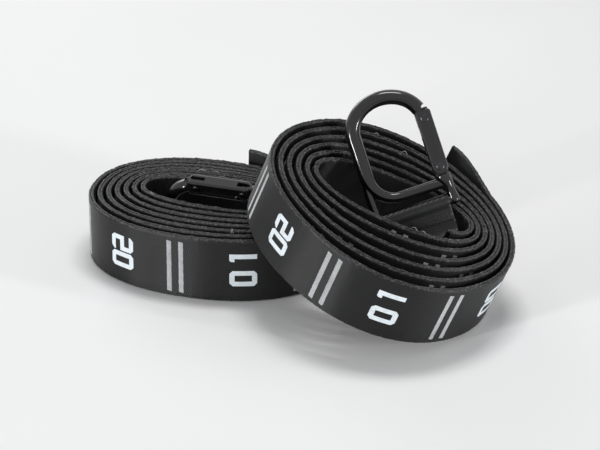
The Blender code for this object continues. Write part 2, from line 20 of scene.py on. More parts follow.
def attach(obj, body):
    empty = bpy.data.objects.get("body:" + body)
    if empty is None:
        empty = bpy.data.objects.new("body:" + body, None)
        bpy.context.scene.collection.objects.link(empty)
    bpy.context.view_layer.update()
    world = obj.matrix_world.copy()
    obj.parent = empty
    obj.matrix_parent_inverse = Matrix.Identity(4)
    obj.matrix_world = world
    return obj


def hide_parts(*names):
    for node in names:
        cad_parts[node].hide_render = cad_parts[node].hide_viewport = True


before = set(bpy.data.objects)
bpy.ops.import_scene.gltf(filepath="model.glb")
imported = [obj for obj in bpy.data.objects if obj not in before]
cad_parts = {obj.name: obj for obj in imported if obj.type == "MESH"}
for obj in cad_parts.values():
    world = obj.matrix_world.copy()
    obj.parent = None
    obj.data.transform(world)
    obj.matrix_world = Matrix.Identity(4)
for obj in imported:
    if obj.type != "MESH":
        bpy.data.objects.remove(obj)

logging.basicConfig(level=logging.INFO, format="%(message)s")
LOG = logging.getLogger("scene")

MM = 0.001
FULL_TURN = 2 * math.pi
UP = Vector((0.0, 0.0, 1.0))
PAIR_SHIFT = Vector((-1.47, 16.37, 0.0)) * MM

Pair = tuple[float, float]
Triple = tuple[float, float, float]
Socket = bpy.types.NodeSocket
Corners = list[bmesh.types.BMVert]


class Side(Enum):
    """Which of the two straps a piece belongs to."""

    LEFT = "left"
    RIGHT = "right"


class Ply(Enum):
    """The strap's two plies: the outer one, sewn on in loops, and the base one under it."""

    OUTER = "loop"
    BASE = "base"


@dataclass(frozen=True)
class WebbingSize:
    """Sizes of the webbing, shared by both straps."""

    width: float = 38 * MM
    ply: float = 1.1 * MM
    woven: float = 1.36 * MM
    gap: float = 0.3 * MM
    tail: float = 40 * MM
    ripple: float = 0.9 * MM
    points_per_turn: int = 420

    @property
    def half_stack(self) -> float:
        """Half the thickness of both plies and the gap between them."""
        return self.ply + self.gap / 2


@dataclass(frozen=True)
class Hollow:
    """The long space that a strap is wound round, in its roll's own plane."""

    centre: Pair
    half_length: float
    half_width: float
    turn: float
    fullness: float


@dataclass(frozen=True)
class RollSize:
    """How one strap is wound and how its roll lies on the ground."""

    side: Side
    centre: Pair
    lean: float
    tilt: float
    turn: float
    half_right: float
    half_left: float
    half_width: float
    fullness: float
    hollow: Hollow
    start: float
    end: float
    turns: int
    tail_out: float
    tail_up: float


@dataclass(frozen=True)
class Placement:
    """Where a carabiner's slot bar lies in its roll's frame, and how the webbing reaches it."""

    slot: Triple
    across: Triple
    along: Triple
    folded_back: bool
    sewn_length: float
    lead_pull: float


@dataclass(frozen=True)
class CarabinerSize:
    """Sizes of a carabiner's frame: x from the spine to the gate, y from the slot bar to the arc."""

    rod: float = 4.2 * MM
    base_bar: float = 3.0 * MM
    slot_bar: float = 2.7 * MM
    slot_opening: float = 4.8 * MM
    ear: float = 3.2 * MM
    post: float = 2.6 * MM
    side_gap: float = 0.4 * MM
    spine_x: float = -20.3 * MM
    gate_x: float = 20.5 * MM
    base_end: float = 21.6 * MM
    arc_top: float = 66 * MM
    arc_height: float = 17 * MM
    crown_shift: float = 0.5 * MM
    nose_inset: float = 0.6 * MM
    corner: float = 15 * MM
    join_rise: float = 13 * MM
    join_inset: float = 1.2 * MM
    post_corner: float = 2.5 * MM
    hinge_y: float = 19.5 * MM
    pin_y: float = 47.5 * MM
    pin_room: float = 1.7 * MM
    nose_y: float = 52.8 * MM
    tongue: float = 3.0 * MM
    tongue_bevel: float = 0.25 * MM
    lug: float = 3.2 * MM
    cam_rise: float = 0.5 * MM
    hook_lip: float = 1.9 * MM
    hook_outer: float = 3.4 * MM
    seat_gap: float = 0.3 * MM
    fold_height: float = 4.6 * MM

    @property
    def base_y(self) -> float:
        """Height of the base bar above the slot bar."""
        return self.slot_bar + self.slot_opening + self.base_bar

    @property
    def shoulder_y(self) -> float:
        """Height of the shoulder that the gate's lower end stands on."""
        return self.hinge_y - 4.5 * MM - 0.3 * MM


WEBBING = WebbingSize()
CARABINER = CarabinerSize()
ROLLS = {
    Side.LEFT: RollSize(
        side=Side.LEFT, centre=(-53.2 * MM, 16.6 * MM), lean=0.0, tilt=0.0, turn=-15.7,
        half_right=76.5 * MM, half_left=70.4 * MM, half_width=52.6 * MM, fullness=2.2,
        hollow=Hollow(centre=(5.8 * MM, 8.0 * MM), half_length=43.5 * MM, half_width=15.5 * MM,
                      turn=0.0, fullness=2.4),
        start=84.0, end=100.0, turns=7, tail_out=6 * MM, tail_up=5 * MM),
    Side.RIGHT: RollSize(
        side=Side.RIGHT, centre=(40.9 * MM, -28.8 * MM), lean=19.5, tilt=9.2, turn=-47.9,
        half_right=74.3 * MM, half_left=78.2 * MM, half_width=70.0 * MM, fullness=2.15,
        hollow=Hollow(centre=(-2.8 * MM, 6.0 * MM), half_length=44.5 * MM, half_width=16.0 * MM,
                      turn=38.0, fullness=2.3),
        start=105.0, end=-5.0, turns=6, tail_out=3 * MM, tail_up=6 * MM),
}
PLACEMENTS = {
    Side.LEFT: Placement(
        slot=(43.3 * MM, 7.3 * MM, 24.5 * MM), across=(0.0, -0.208, 0.978), along=(-1.0, 0.0, 0.0),
        folded_back=True, sewn_length=12 * MM, lead_pull=30 * MM),
    Side.RIGHT: Placement(
        slot=(6.3 * MM, 16.2 * MM, 33.1 * MM), across=(0.393, 0.736, 0.551), along=(-0.797, -0.026, 0.603),
        folded_back=False, sewn_length=10 * MM, lead_pull=25 * MM),
}


def smooth(value: float) -> float:
    """Return a smooth step from 0 to 1.

    Args:
        value: The position, held to the range 0 to 1.

    Returns:
        The eased position.
    """
    held = min(max(value, 0.0), 1.0)
    return held * held * (3 - 2 * held)


def signed_power(value: float, exponent: float) -> float:
    """Return a power that keeps its base's sign.

    Args:
        value: The base.
        exponent: The exponent.

    Returns:
        The signed power.
    """
    return math.copysign(abs(value) ** exponent, value)


def smooth_line(knots: list[Vector], steps: int) -> list[Vector]:
    """Return points on a smooth curve through knots.

    Args:
        knots: The points to pass through.
        steps: How many steps lie between two knots.

    Returns:
        The points, the last knot included.
    """
    padded = [knots[0] * 2 - knots[1]] + knots + [knots[-1] * 2 - knots[-2]]
    points = []
    for index in range(1, len(padded) - 2):
        a, b, c, d = padded[index - 1:index + 3]
        for step in range(steps):
            t = step / steps
            points.append(0.5 * (2 * b + (c - a) * t + (2 * a - 5 * b + 4 * c - d) * t ** 2
                                 + (3 * b - a - 3 * c + d) * t ** 3))
    points.append(knots[-1].copy())
    return points


def directions(points: list[Vector]) -> list[Vector]:
    """Return the unit direction of travel at each point of a line.

    Args:
        points: The line.

    Returns:
        One unit vector a point.
    """
    last = len(points) - 1
    return [(points[min(index + 1, last)] - points[max(index - 1, 0)]).normalized()
            for index in range(len(points))]


class Mesh:
    """A mesh under construction."""

    def __init__(self, name: str) -> None:
        """Start an empty mesh.

        Args:
            name: The piece's name.
        """
        self.name = name
        self.build = bmesh.new()
        self.uv = self.build.loops.layers.uv.new("UVMap")

    def ring(self, points: list[Vector]) -> Corners:
        """Add a ring of vertices.

        Args:
            points: The ring's points.

        Returns:
            The new vertices.
        """
        return [self.build.verts.new(point) for point in points]

    def face(self, corners: Corners, places: list[Pair] | None = None) -> None:
        """Add one face.

        Args:
            corners: The face's vertices in order.
            places: The surface coordinates of each corner, in metres.
        """
        made = self.build.faces.new(corners)
        made.smooth = True
        for loop, place in zip(made.loops, places or ()):
            loop[self.uv].uv = place

    def skin(self, rings: list[Corners], place: Callable[[int, int, int], Pair] | None = None,
             closed: bool = True) -> None:
        """Join each ring to the next one with faces.

        Args:
            rings: Rings or rows of vertices, all of one length.
            place: Surface coordinates for a strip, its near (0) or far (1) ring, and a corner.
            closed: Whether each ring's last vertex meets its first.
        """
        count = len(rings[0])
        for strip, (near, far) in enumerate(zip(rings, rings[1:])):
            for corner in range(count if closed else count - 1):
                after = corner + 1
                around = ((0, corner), (0, after), (1, after), (1, corner))
                places = [place(strip, end, at) for end, at in around] if place else None
                after %= count
                self.face([near[corner], near[after], far[after], far[corner]], places)

    def tube(self, path: list[Vector], radii: list[float], side: Vector, sides: int = 24) -> None:
        """Add a closed round rod along a path.

        Args:
            path: The rod's centre line.
            radii: The radius at each point.
            side: A direction square to the whole path, or close to it.
            sides: How many sides the rod has.
        """
        rings = []
        lengths = [0.0]
        for index, (point, heading) in enumerate(zip(path, directions(path))):
            if index:
                lengths.append(lengths[-1] + (point - path[index - 1]).length)
            first = (side - heading * side.dot(heading)).normalized()
            second = heading.cross(first)
            angles = [FULL_TURN * corner / sides for corner in range(sides)]
            rings.append(self.ring([point + (first * math.cos(angle) + second * math.sin(angle)) * radii[index]
                                    for angle in angles]))
        self.skin(rings, lambda strip, end, at: (lengths[strip + end], at / sides * FULL_TURN * radii[strip]))
        self.face(rings[0][::-1])
        self.face(rings[-1])

    def finish(self, material: bpy.types.Material, body: str, sharp: float = 40.0) -> bpy.types.Object:
        """Turn the mesh into an object that rides on a body.

        Args:
            material: The piece's material.
            body: The frame body that carries it.
            sharp: Edges with a larger angle than this stay sharp.

        Returns:
            The new object.
        """
        bmesh.ops.recalc_face_normals(self.build, faces=self.build.faces)
        data = bpy.data.meshes.new(self.name)
        self.build.to_mesh(data)
        self.build.free()
        data.materials.append(material)
        data.set_sharp_from_angle(angle=math.radians(sharp))
        made = bpy.data.objects.new(self.name, data)
        bpy.context.scene.collection.objects.link(made)
        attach(made, body)
        LOG.info("piece %s: %d faces on %s", self.name, len(data.polygons), body)
        return made


class Nodes:
    """A short way to write a material's node tree."""

    def __init__(self, name: str) -> None:
        """Start a material with a Principled BSDF.

        Args:
            name: The material's name.
        """
        self.material = bpy.data.materials.new(name)
        self.material.use_nodes = True
        self.tree = self.material.node_tree
        self.shader = self.tree.nodes["Principled BSDF"]

    def add(self, kind: str, **inputs: object) -> bpy.types.Node:
        """Add a node and set or link its inputs.

        Args:
            kind: The node's type, without its prefix.
            inputs: Input names with underscores for spaces, or i0, i1, ... for inputs by number.

        Returns:
            The new node.
        """
        node = self.tree.nodes.new("ShaderNode" + kind)
        for key, value in inputs.items():
            numbered = key[0] == "i" and key[1:].isdigit()
            self.put(node.inputs[int(key[1:]) if numbered else key.replace("_", " ")], value)
        return node

    def put(self, socket: Socket, value: object) -> None:
        """Link a socket to another, or set its value.

        Args:
            socket: The input socket.
            value: An output socket or a plain value.
        """
        if isinstance(value, Socket):
            self.tree.links.new(value, socket)
        else:
            socket.default_value = value

    def shade(self, **inputs: object) -> None:
        """Set or link the shader's inputs.

        Args:
            inputs: Input names with underscores for spaces, and what goes into each.
        """
        for key, value in inputs.items():
            self.put(self.shader.inputs[key.replace("_", " ")], value)

    def math(self, operation: str, *values: object) -> Socket:
        """Add a math node.

        Args:
            operation: The operation's name.
            values: The values or sockets that go into it.

        Returns:
            The output socket.
        """
        node = self.add("Math", **{f"i{index}": value for index, value in enumerate(values)})
        node.operation = operation
        return node.outputs[0]

    def weigh(self, first: Socket, first_weight: float, second: Socket, second_weight: float) -> Socket:
        """Add two values by weight.

        Args:
            first: The first value.
            first_weight: Its weight.
            second: The second value.
            second_weight: Its weight.

        Returns:
            The sum's socket.
        """
        return self.math("ADD", self.math("MULTIPLY", first, first_weight),
                         self.math("MULTIPLY", second, second_weight))

    def noise(self, vector: Socket, scale: float, detail: float = 3.0, rough: float = 0.55) -> Socket:
        """Add a noise texture.

        Args:
            vector: The coordinates' socket.
            scale: The noise's scale.
            detail: How many octaves it has.
            rough: How strong the finer octaves are.

        Returns:
            The noise's value.
        """
        return self.add("TexNoise", Vector=vector, Scale=scale, Detail=detail, Roughness=rough).outputs[0]

    def ramp(self, value: Socket, ends: Pair, colours: tuple[Triple, Triple]) -> Socket:
        """Add a colour ramp.

        Args:
            value: The ramp's input socket.
            ends: Where the ramp begins and ends.
            colours: The colours at its ends.

        Returns:
            The colour output.
        """
        node = self.add("ValToRGB", i0=value)
        for element, position, colour in zip(node.color_ramp.elements, ends, colours):
            element.position = position
            element.color = (*colour, 1.0)
        return node.outputs[0]

    def spread(self, value: Socket, low: float, high: float, out_low: float = 0.0,
               out_high: float = 1.0) -> Socket:
        """Map a value from one range to another.

        Args:
            value: The input socket.
            low: The input range's low end.
            high: The input range's high end.
            out_low: The output for low.
            out_high: The output for high.

        Returns:
            The mapped value.
        """
        return self.add("MapRange", i0=value, i1=low, i2=high, i3=out_low, i4=out_high).outputs[0]

    def bump(self, height: Socket, distance: float, strength: float) -> None:
        """Give the shader a bump.

        Args:
            height: The height's socket.
            distance: The height of a full step in metres.
            strength: How strong the bump is.
        """
        node = self.add("Bump", Height=height, Distance=distance, Strength=strength)
        self.shade(Normal=node.outputs[0])


@dataclass(frozen=True)
class WebbingFinish:
    """Look of one kind of webbing or thread: slanted ribs across, cords along, fuzz and worn edges, with painted
    shade in the weave's hollows and painted light on its crests.
    """

    name: str
    # The colour's dark and light ends: painted shade in the weave's hollows and painted light on its crests, with
    # random tone between.
    dark_tone_and_hollow_shade: Triple
    light_tone_and_crest_light: Triple
    lint: Triple
    rib_pitch: float
    warp_pitch: float
    bump: float
    roughness: Pair
    sheen: float
    gloss: float

    WANDER = 1.6
    WANDER_SCALE = 260.0
    SLANT = 0.5
    RIB_BASE = 1.2
    CORD_BASE = 3.4
    FIBRE_SCALE = 2400.0
    CLOUD_SCALE = 55.0
    RELIEF = 0.35 * MM
    WEAVE_HEIGHT, FIBRE_HEIGHT = 0.1, 0.2
    # Weight of the weave's painted shade in the colour, and of the random cloud tone.
    WEAVE_TONE, CLOUD_TONE = 0.05, 0.55
    TONE_ENDS = (0.18, 0.82)
    RIM_WIDTH = 1.1 * MM
    RIM_END = 0.1 * MM
    RIM_LINT = 0.75
    FACE_LINT = 0.03
    SPECK_SCALE = 700.0
    SPECK_ENDS = (0.5, 0.66)
    FIBRE_FUZZ = 0.4
    FUZZ_ENDS = (0.3, 1.0)
    SHEEN_ROUGHNESS = 0.45
    ANISOTROPY = 0.92
    ACROSS_TURN = 0.25

    def weave(self, nodes: Nodes, where: Socket, place: bpy.types.Node) -> Socket:
        """Build the height of the weave.

        Args:
            nodes: The material's nodes.
            where: The object coordinates.
            place: The node that holds the place along and across the webbing.

        Returns:
            The height's socket.
        """
        wander = nodes.math("MULTIPLY", nodes.noise(where, self.WANDER_SCALE, 2.0), self.WANDER)
        along = nodes.math("MULTIPLY_ADD", place.outputs[0], FULL_TURN / self.rib_pitch, wander)
        across = nodes.math("MULTIPLY", place.outputs[1], FULL_TURN / self.warp_pitch)
        rib = nodes.math("SINE", nodes.math("ADD", along, nodes.math("MULTIPLY", across, self.SLANT)))
        cord = nodes.math("SINE", across)
        return nodes.math("MULTIPLY", nodes.math("ADD", rib, self.RIB_BASE),
                          nodes.math("ADD", cord, self.CORD_BASE))

    def make(self) -> bpy.types.Material:
        """Build the woven material.

        Returns:
            The material.
        """
        nodes = Nodes(self.name)
        where = nodes.add("TexCoord").outputs["Object"]
        place = nodes.add("SeparateXYZ", Vector=nodes.add("UVMap").outputs[0])
        weave = self.weave(nodes, where, place)
        fibre = nodes.noise(where, self.FIBRE_SCALE, 4.0, 0.7)
        cloud = nodes.noise(where, self.CLOUD_SCALE, 4.0, 0.6)
        height = nodes.weigh(weave, self.WEAVE_HEIGHT, fibre, self.FIBRE_HEIGHT)
        nodes.bump(height, self.RELIEF, self.bump)
        # Painted shade and light: the weave's height darkens its hollows and lightens its crests; the cloud adds
        # random tone.
        tone = nodes.weigh(weave, self.WEAVE_TONE, cloud, self.CLOUD_TONE)
        colour = nodes.ramp(tone, self.TONE_ENDS, (self.dark_tone_and_hollow_shade, self.light_tone_and_crest_light))
        half_width = WEBBING.width / 2
        rim = nodes.spread(nodes.math("ABSOLUTE", place.outputs[1]), half_width - self.RIM_WIDTH,
                           half_width - self.RIM_END)
        speck = nodes.spread(nodes.noise(where, self.SPECK_SCALE, 3.0, 0.75), *self.SPECK_ENDS)
        worn = nodes.math("MULTIPLY", speck, nodes.math("MULTIPLY_ADD", rim, self.RIM_LINT, self.FACE_LINT))
        mixed = nodes.add("Mix", i0=worn, i6=colour, i7=(*self.lint, 1.0))
        mixed.data_type = "RGBA"
        fuzz = nodes.math("ADD", cloud, nodes.math("MULTIPLY", fibre, self.FIBRE_FUZZ))
        tangent = nodes.add("Tangent")
        tangent.direction_type = "UV_MAP"
        tangent.uv_map = "UVMap"
        nodes.shade(Base_Color=mixed.outputs[2], Roughness=nodes.spread(fuzz, *self.FUZZ_ENDS, *self.roughness),
                    Sheen_Weight=self.sheen, Sheen_Roughness=self.SHEEN_ROUGHNESS,
                    Specular_IOR_Level=self.gloss, Anisotropic=self.ANISOTROPY,
                    Anisotropic_Rotation=self.ACROSS_TURN, Tangent=tangent.outputs[0])
        return nodes.material


@dataclass(frozen=True)
class MetalFinish:
    """Look of one kind of metal."""

    name: str
    colour: Triple
    metallic: float
    roughness: Pair
    scratch: float
    gloss: float = 0.5
    coat: float = 0.0

    STREAKS = (900.0, 900.0, 130.0)
    CLOUD_SCALE = 90.0
    WORN_GAIN = 1.7
    TONE_ENDS = (0.35, 0.7)
    ROUGH_ENDS = (0.3, 0.7)
    COAT_ROUGHNESS = 0.06
    RELIEF = 0.02 * MM

    def make(self) -> bpy.types.Material:
        """Build the metal material with faint handling marks.

        Returns:
            The material.
        """
        nodes = Nodes(self.name)
        where = nodes.add("TexCoord").outputs["Object"]
        streaks = nodes.add("Mapping", Vector=where, Scale=self.STREAKS)
        fine = nodes.noise(streaks.outputs[0], 1.0, 3.0, 0.7)
        cloud = nodes.noise(where, self.CLOUD_SCALE, 3.0, 0.6)
        brighter = tuple(min(channel * self.WORN_GAIN, 1.0) for channel in self.colour)
        nodes.bump(fine, self.RELIEF, self.scratch)
        rough = nodes.spread(nodes.weigh(fine, 0.5, cloud, 0.5), *self.ROUGH_ENDS, *self.roughness)
        nodes.shade(Base_Color=nodes.ramp(cloud, self.TONE_ENDS, (self.colour, brighter)), Roughness=rough,
                    Metallic=self.metallic, Specular_IOR_Level=self.gloss, Coat_Weight=self.coat,
                    Coat_Roughness=self.COAT_ROUGHNESS)
        return nodes.material


@dataclass(frozen=True)
class PrintFinish:
    """Look of the ink of the printed numbers."""

    name: str
    fresh: Triple
    worn: Triple

    GRAIN_SCALE = 1900.0
    CLOUD_SCALE = 240.0
    TONE_ENDS = (0.3, 0.52)
    RELIEF = 0.12 * MM
    BUMP = 0.5
    ROUGHNESS = 0.55

    def make(self) -> bpy.types.Material:
        """Build the ink material: thin where the weave stands proud.

        Returns:
            The material.
        """
        nodes = Nodes(self.name)
        where = nodes.add("TexCoord").outputs["Object"]
        grain = nodes.noise(where, self.GRAIN_SCALE, 3.0, 0.7)
        cloud = nodes.noise(where, self.CLOUD_SCALE, 3.0, 0.6)
        tone = nodes.weigh(grain, 0.6, cloud, 0.4)
        nodes.bump(grain, self.RELIEF, self.BUMP)
        nodes.shade(Base_Color=nodes.ramp(tone, self.TONE_ENDS, (self.worn, self.fresh)),
                    Roughness=self.ROUGHNESS)
        return nodes.material


class Looks:
    """All materials of the pair."""

    def __init__(self) -> None:
        """Build each material once."""
        # The first two colours of each webbing and thread are painted shade in the weave's hollows and painted
        # light on its crests, mixed with random tone.
        self.webbing = WebbingFinish(
            "woven_webbing", dark_tone_and_hollow_shade=(0.002, 0.002, 0.0023), light_tone_and_crest_light=(0.009, 0.0093, 0.0102),
            lint=(0.13, 0.13, 0.135), rib_pitch=1.15 * MM, warp_pitch=1.7 * MM, bump=0.3,
            roughness=(0.34, 0.42), sheen=0.0, gloss=0.32).make()
        self.thread = WebbingFinish(
            "bar_tack_thread", dark_tone_and_hollow_shade=(0.09, 0.092, 0.095), light_tone_and_crest_light=(0.62, 0.635, 0.65),
            lint=(0.75, 0.77, 0.80), rib_pitch=0.5 * MM, warp_pitch=0.5 * MM, bump=0.4,
            roughness=(0.55, 0.75), sheen=0.15, gloss=0.3).make()
        self.stitch = WebbingFinish(
            "black_thread", dark_tone_and_hollow_shade=(0.004, 0.004, 0.0045), light_tone_and_crest_light=(0.012, 0.012, 0.013),
            lint=(0.03, 0.03, 0.03), rib_pitch=0.4 * MM, warp_pitch=0.4 * MM, bump=0.4,
            roughness=(0.45, 0.65), sheen=0.10, gloss=0.3).make()
        self.lint = WebbingFinish(
            "loose_light_thread", dark_tone_and_hollow_shade=(0.30, 0.30, 0.31), light_tone_and_crest_light=(0.60, 0.60, 0.62),
            lint=(0.7, 0.7, 0.72), rib_pitch=0.4 * MM, warp_pitch=0.4 * MM, bump=0.3,
            roughness=(0.5, 0.7), sheen=0.1, gloss=0.3).make()
        self.ink = PrintFinish("number_ink", fresh=(0.68, 0.74, 0.78), worn=(0.48, 0.52, 0.55)).make()
        self.black_metal = MetalFinish(
            "polished_black_metal", colour=(0.003, 0.003, 0.0034), metallic=0.0, roughness=(0.14, 0.22),
            scratch=0.1, gloss=0.25, coat=0.45).make()
        self.dark_steel = MetalFinish(
            "dark_steel", colour=(0.03, 0.03, 0.033), metallic=1.0, roughness=(0.2, 0.34), scratch=0.2).make()
        self.spring_steel = MetalFinish(
            "spring_steel", colour=(0.42, 0.43, 0.45), metallic=1.0, roughness=(0.2, 0.35), scratch=0.2).make()


class StrapPath:
    """The mid-surface line of one ply, with its width directions and arc lengths."""

    def __init__(self, points: list[Vector], widths: list[Vector]) -> None:
        """Measure the line.

        Args:
            points: Points in the world.
            widths: The webbing's width direction at each point.
        """
        self.points = points
        self.headings = directions(points)
        self.widths = []
        self.outwards = []
        self.lengths = [0.0]
        for index, (heading, width) in enumerate(zip(self.headings, widths)):
            across = (width - heading * width.dot(heading)).normalized()
            self.widths.append(across)
            self.outwards.append(across.cross(heading))
            if index:
                self.lengths.append(self.lengths[-1] + (points[index] - points[index - 1]).length)

    @property
    def length(self) -> float:
        """Length of the whole line."""
        return self.lengths[-1]

    def place(self, along: float, across: float, lift: float) -> Vector:
        """Return a point on or above the ply.

        Args:
            along: Distance from the cut end.
            across: Distance from the middle, along the width.
            lift: Distance outwards from the mid-surface.

        Returns:
            The point.
        """
        low, high = 0, len(self.lengths) - 1
        while high - low > 1:
            middle = (low + high) // 2
            if self.lengths[middle] <= along:
                low = middle
            else:
                high = middle
        share = (along - self.lengths[low]) / max(self.lengths[high] - self.lengths[low], 1e-9)
        point = self.points[low].lerp(self.points[high], share)
        width = self.widths[low].lerp(self.widths[high], share).normalized()
        outwards = self.outwards[low].lerp(self.outwards[high], share).normalized()
        return point + width * across + outwards * lift


class Roll:
    """One wound strap: its frame in the world and the lines of its two plies."""

    LEAD_STEPS = 40
    LOOP_STEPS = 6
    BESIDE_ROOM = 0.1 * MM
    PAST_SEAM = 2 * MM
    RIPPLE_SCALES = (16.0, 90.0, 400.0)

    def __init__(self, size: RollSize, placement: Placement) -> None:
        """Work out the roll's frame and lines.

        Args:
            size: The roll's sizes.
            placement: Where its carabiner's slot bar is.
        """
        self.size = size
        self.placement = placement
        self.matrix = self.frame()
        self.metal = self.matrix @ self.metal_frame()
        self.lines = {ply: self.line(ply) for ply in Ply}

    def oval(self, angle: float, right: float, left: float, width: float, fullness: float) -> Vector:
        """Return a point of a full-cornered oval.

        Args:
            angle: The parameter angle.
            right: Half length on the right.
            left: Half length on the left.
            width: Half width.
            fullness: The oval's exponent; 2 is an ellipse.

        Returns:
            The point in the roll's plane.
        """
        across = math.cos(math.radians(angle))
        up = math.sin(math.radians(angle))
        half_length = right if across > 0 else left
        return Vector((half_length * signed_power(across, 2 / fullness), width * signed_power(up, 2 / fullness)))

    def frame(self) -> Matrix:
        """Return the roll's frame, with its lowest corner on the ground.

        Returns:
            The frame's matrix.
        """
        size = self.size
        lean, tilt, turn = (math.radians(value) for value in (size.lean, size.tilt, size.turn))
        up = Vector((math.sin(lean) * math.cos(tilt), -math.sin(tilt), math.cos(lean) * math.cos(tilt)))
        side = (Vector((1, 0, 0)) - up * up.x).normalized()
        back = up.cross(side)
        first = side * math.cos(turn) + back * math.sin(turn)
        second = up.cross(first)
        lowest = 0.0
        for degree in range(0, 360, 3):
            corner = self.oval(degree, size.half_right, size.half_left, size.half_width, size.fullness)
            lowest = min(lowest, first.z * corner.x + second.z * corner.y)
        axes = Matrix((first, second, up)).transposed().to_4x4()
        place = Vector((size.centre[0], size.centre[1], -lowest)) + PAIR_SHIFT
        return Matrix.Translation(place) @ axes

    def metal_frame(self) -> Matrix:
        """Return the carabiner's frame in the roll's.

        Returns:
            The frame's matrix, with its origin on the slot bar.
        """
        y_axis = Vector(self.placement.along).normalized()
        x_axis = Vector(self.placement.across)
        x_axis = (x_axis - y_axis * x_axis.dot(y_axis)).normalized()
        axes = Matrix((x_axis, y_axis, x_axis.cross(y_axis))).transposed().to_4x4()
        return Matrix.Translation(self.placement.slot) @ axes

    def winding(self) -> list[Vector]:
        """Return the strap's mid-line in the roll's plane, from the cut end to the inner end.

        Returns:
            Points in the roll's plane.
        """
        size = self.size
        hollow = size.hollow
        total = size.start - size.end + 360 * size.turns
        count = int(total * WEBBING.points_per_turn / 360)
        tilt = Matrix.Rotation(math.radians(hollow.turn), 2)
        inset = WEBBING.half_stack
        points = []
        for index in range(count + 1):
            turned = total * index / count
            angle = size.start - turned
            outer = self.oval(angle, size.half_right - inset, size.half_left - inset, size.half_width - inset,
                              size.fullness)
            inner = tilt @ self.oval(angle - hollow.turn, hollow.half_length, hollow.half_length,
                                     hollow.half_width, hollow.fullness) + Vector(hollow.centre)
            points.append(outer.lerp(inner, turned / total))
        return points

    def wound(self, offset: float) -> list[Vector]:
        """Return one ply's mid-line in the roll's frame.

        Args:
            offset: The ply's distance outwards from the strap's mid-line.

        Returns:
            The points.
        """
        flat = self.winding()
        travelled = 0.0
        line = []
        for index, heading in enumerate(directions(flat)):
            if index:
                travelled += (flat[index] - flat[index - 1]).length
            lift = smooth(1 - travelled / WEBBING.tail)
            outwards = Vector((-heading.y, heading.x))
            place = flat[index] + outwards * (offset + self.size.tail_out * lift)
            along, roll, ply = self.RIPPLE_SCALES
            seed = Vector((travelled * along, self.size.centre[0] * roll, offset * ply))
            ripple = WEBBING.ripple * (0.5 + 0.5 * noise.noise(seed))
            line.append(Vector((place.x, place.y, WEBBING.width / 2 + self.size.tail_up * lift + ripple)))
        return line

    def bar_loop(self) -> list[Vector]:
        """Return the webbing's path round the slot bar, seen along the bar.

        A folded-back end comes over the frame, goes round the bar and returns under itself. The other
        end comes to the bar from outside and goes back the same way.

        Returns:
            Points: x away from the frame, y behind it.
        """
        sewn = self.placement.sewn_length
        round_bar = CARABINER.slot_bar + CARABINER.seat_gap + WEBBING.ply / 2
        beside = (WEBBING.ply + WEBBING.gap + self.BESIDE_ROOM) / 2
        if self.placement.folded_back:
            inner = CARABINER.fold_height
            outer = inner + 2 * beside
            knots = [(-sewn - self.PAST_SEAM, outer), (-8 * MM, outer), (-3 * MM, outer - 0.7 * MM),
                     (1.8 * MM, 4.5 * MM)]
            turn = range(35, -176, -35)
            ends = [(-4.3 * MM, 2.4 * MM), (-6.5 * MM, inner - 0.6 * MM), (-9 * MM, inner), (-sewn, inner)]
        else:
            knots = [(sewn + self.PAST_SEAM, beside), (8 * MM, beside + 0.4 * MM), (4.2 * MM, 2.0 * MM)]
            turn = (62, 95, 130, 165, 195, 230, 265, 298)
            ends = [(4.2 * MM, -2.0 * MM), (8 * MM, -beside - 0.4 * MM), (sewn, -beside)]
        for degree in turn:
            angle = math.radians(degree)
            knots.append((round_bar * math.cos(angle), round_bar * math.sin(angle)))
        return smooth_line([Vector(knot) for knot in knots + ends], self.LOOP_STEPS)

    def line(self, ply: Ply) -> StrapPath:
        """Return a ply's whole line in the world.

        Args:
            ply: Which ply.

        Returns:
            The line; the base ply's goes on round the slot bar.
        """
        offset = (WEBBING.ply + WEBBING.gap) / 2
        points = self.wound(offset if ply is Ply.OUTER else -offset)
        widths = [UP.copy()] * len(points)
        if ply is Ply.BASE:
            metal = self.metal_frame()
            bar, along, front = (metal.to_3x3().col[axis].copy() for axis in range(3))
            loop = [metal.translation - along * knot.x - front * knot.y for knot in self.bar_loop()]
            lead = self.lead(points[-1], directions(points)[-1], loop[0], directions(loop)[0])
            for index in range(len(lead)):
                widths.append(UP.slerp(bar, smooth((index + 1) / (len(lead) + 1))))
            points = points + lead + loop
            widths += [bar] * len(loop)
        turn = self.matrix.to_3x3()
        return StrapPath([self.matrix @ point for point in points], [turn @ width for width in widths])

    def lead(self, start: Vector, start_heading: Vector, end: Vector, end_heading: Vector) -> list[Vector]:
        """Return the points strictly between the winding's inner end and the loop's start.

        Args:
            start: The winding's last point.
            start_heading: Its direction.
            end: The loop's first point.
            end_heading: Its direction.

        Returns:
            The points.
        """
        pull = self.placement.lead_pull
        points = []
        for step in range(1, self.LEAD_STEPS):
            t = step / self.LEAD_STEPS
            points.append(start * (2 * t ** 3 - 3 * t ** 2 + 1)
                          + start_heading * (pull * (t ** 3 - 2 * t ** 2 + t))
                          + end * (3 * t ** 2 - 2 * t ** 3) + end_heading * (pull * (t ** 3 - t ** 2)))
        return points


class StrapPiece:
    """Something that is built on one strap."""

    def __init__(self, roll: Roll, looks: Looks) -> None:
        """Keep what the piece is built from.

        Args:
            roll: The strap's roll.
            looks: The materials.
        """
        self.roll = roll
        self.looks = looks
        self.side = roll.size.side.value

    def attach(self, mesh: Mesh, material: bpy.types.Material, sharp: float = 40.0) -> bpy.types.Object:
        """Finish a mesh as a piece that rides on the strap.

        Args:
            mesh: The mesh.
            material: Its material.
            sharp: Edges with a larger angle than this stay sharp.

        Returns:
            The piece.
        """
        made = mesh.finish(material, self.side + "_strap", sharp)
        return made


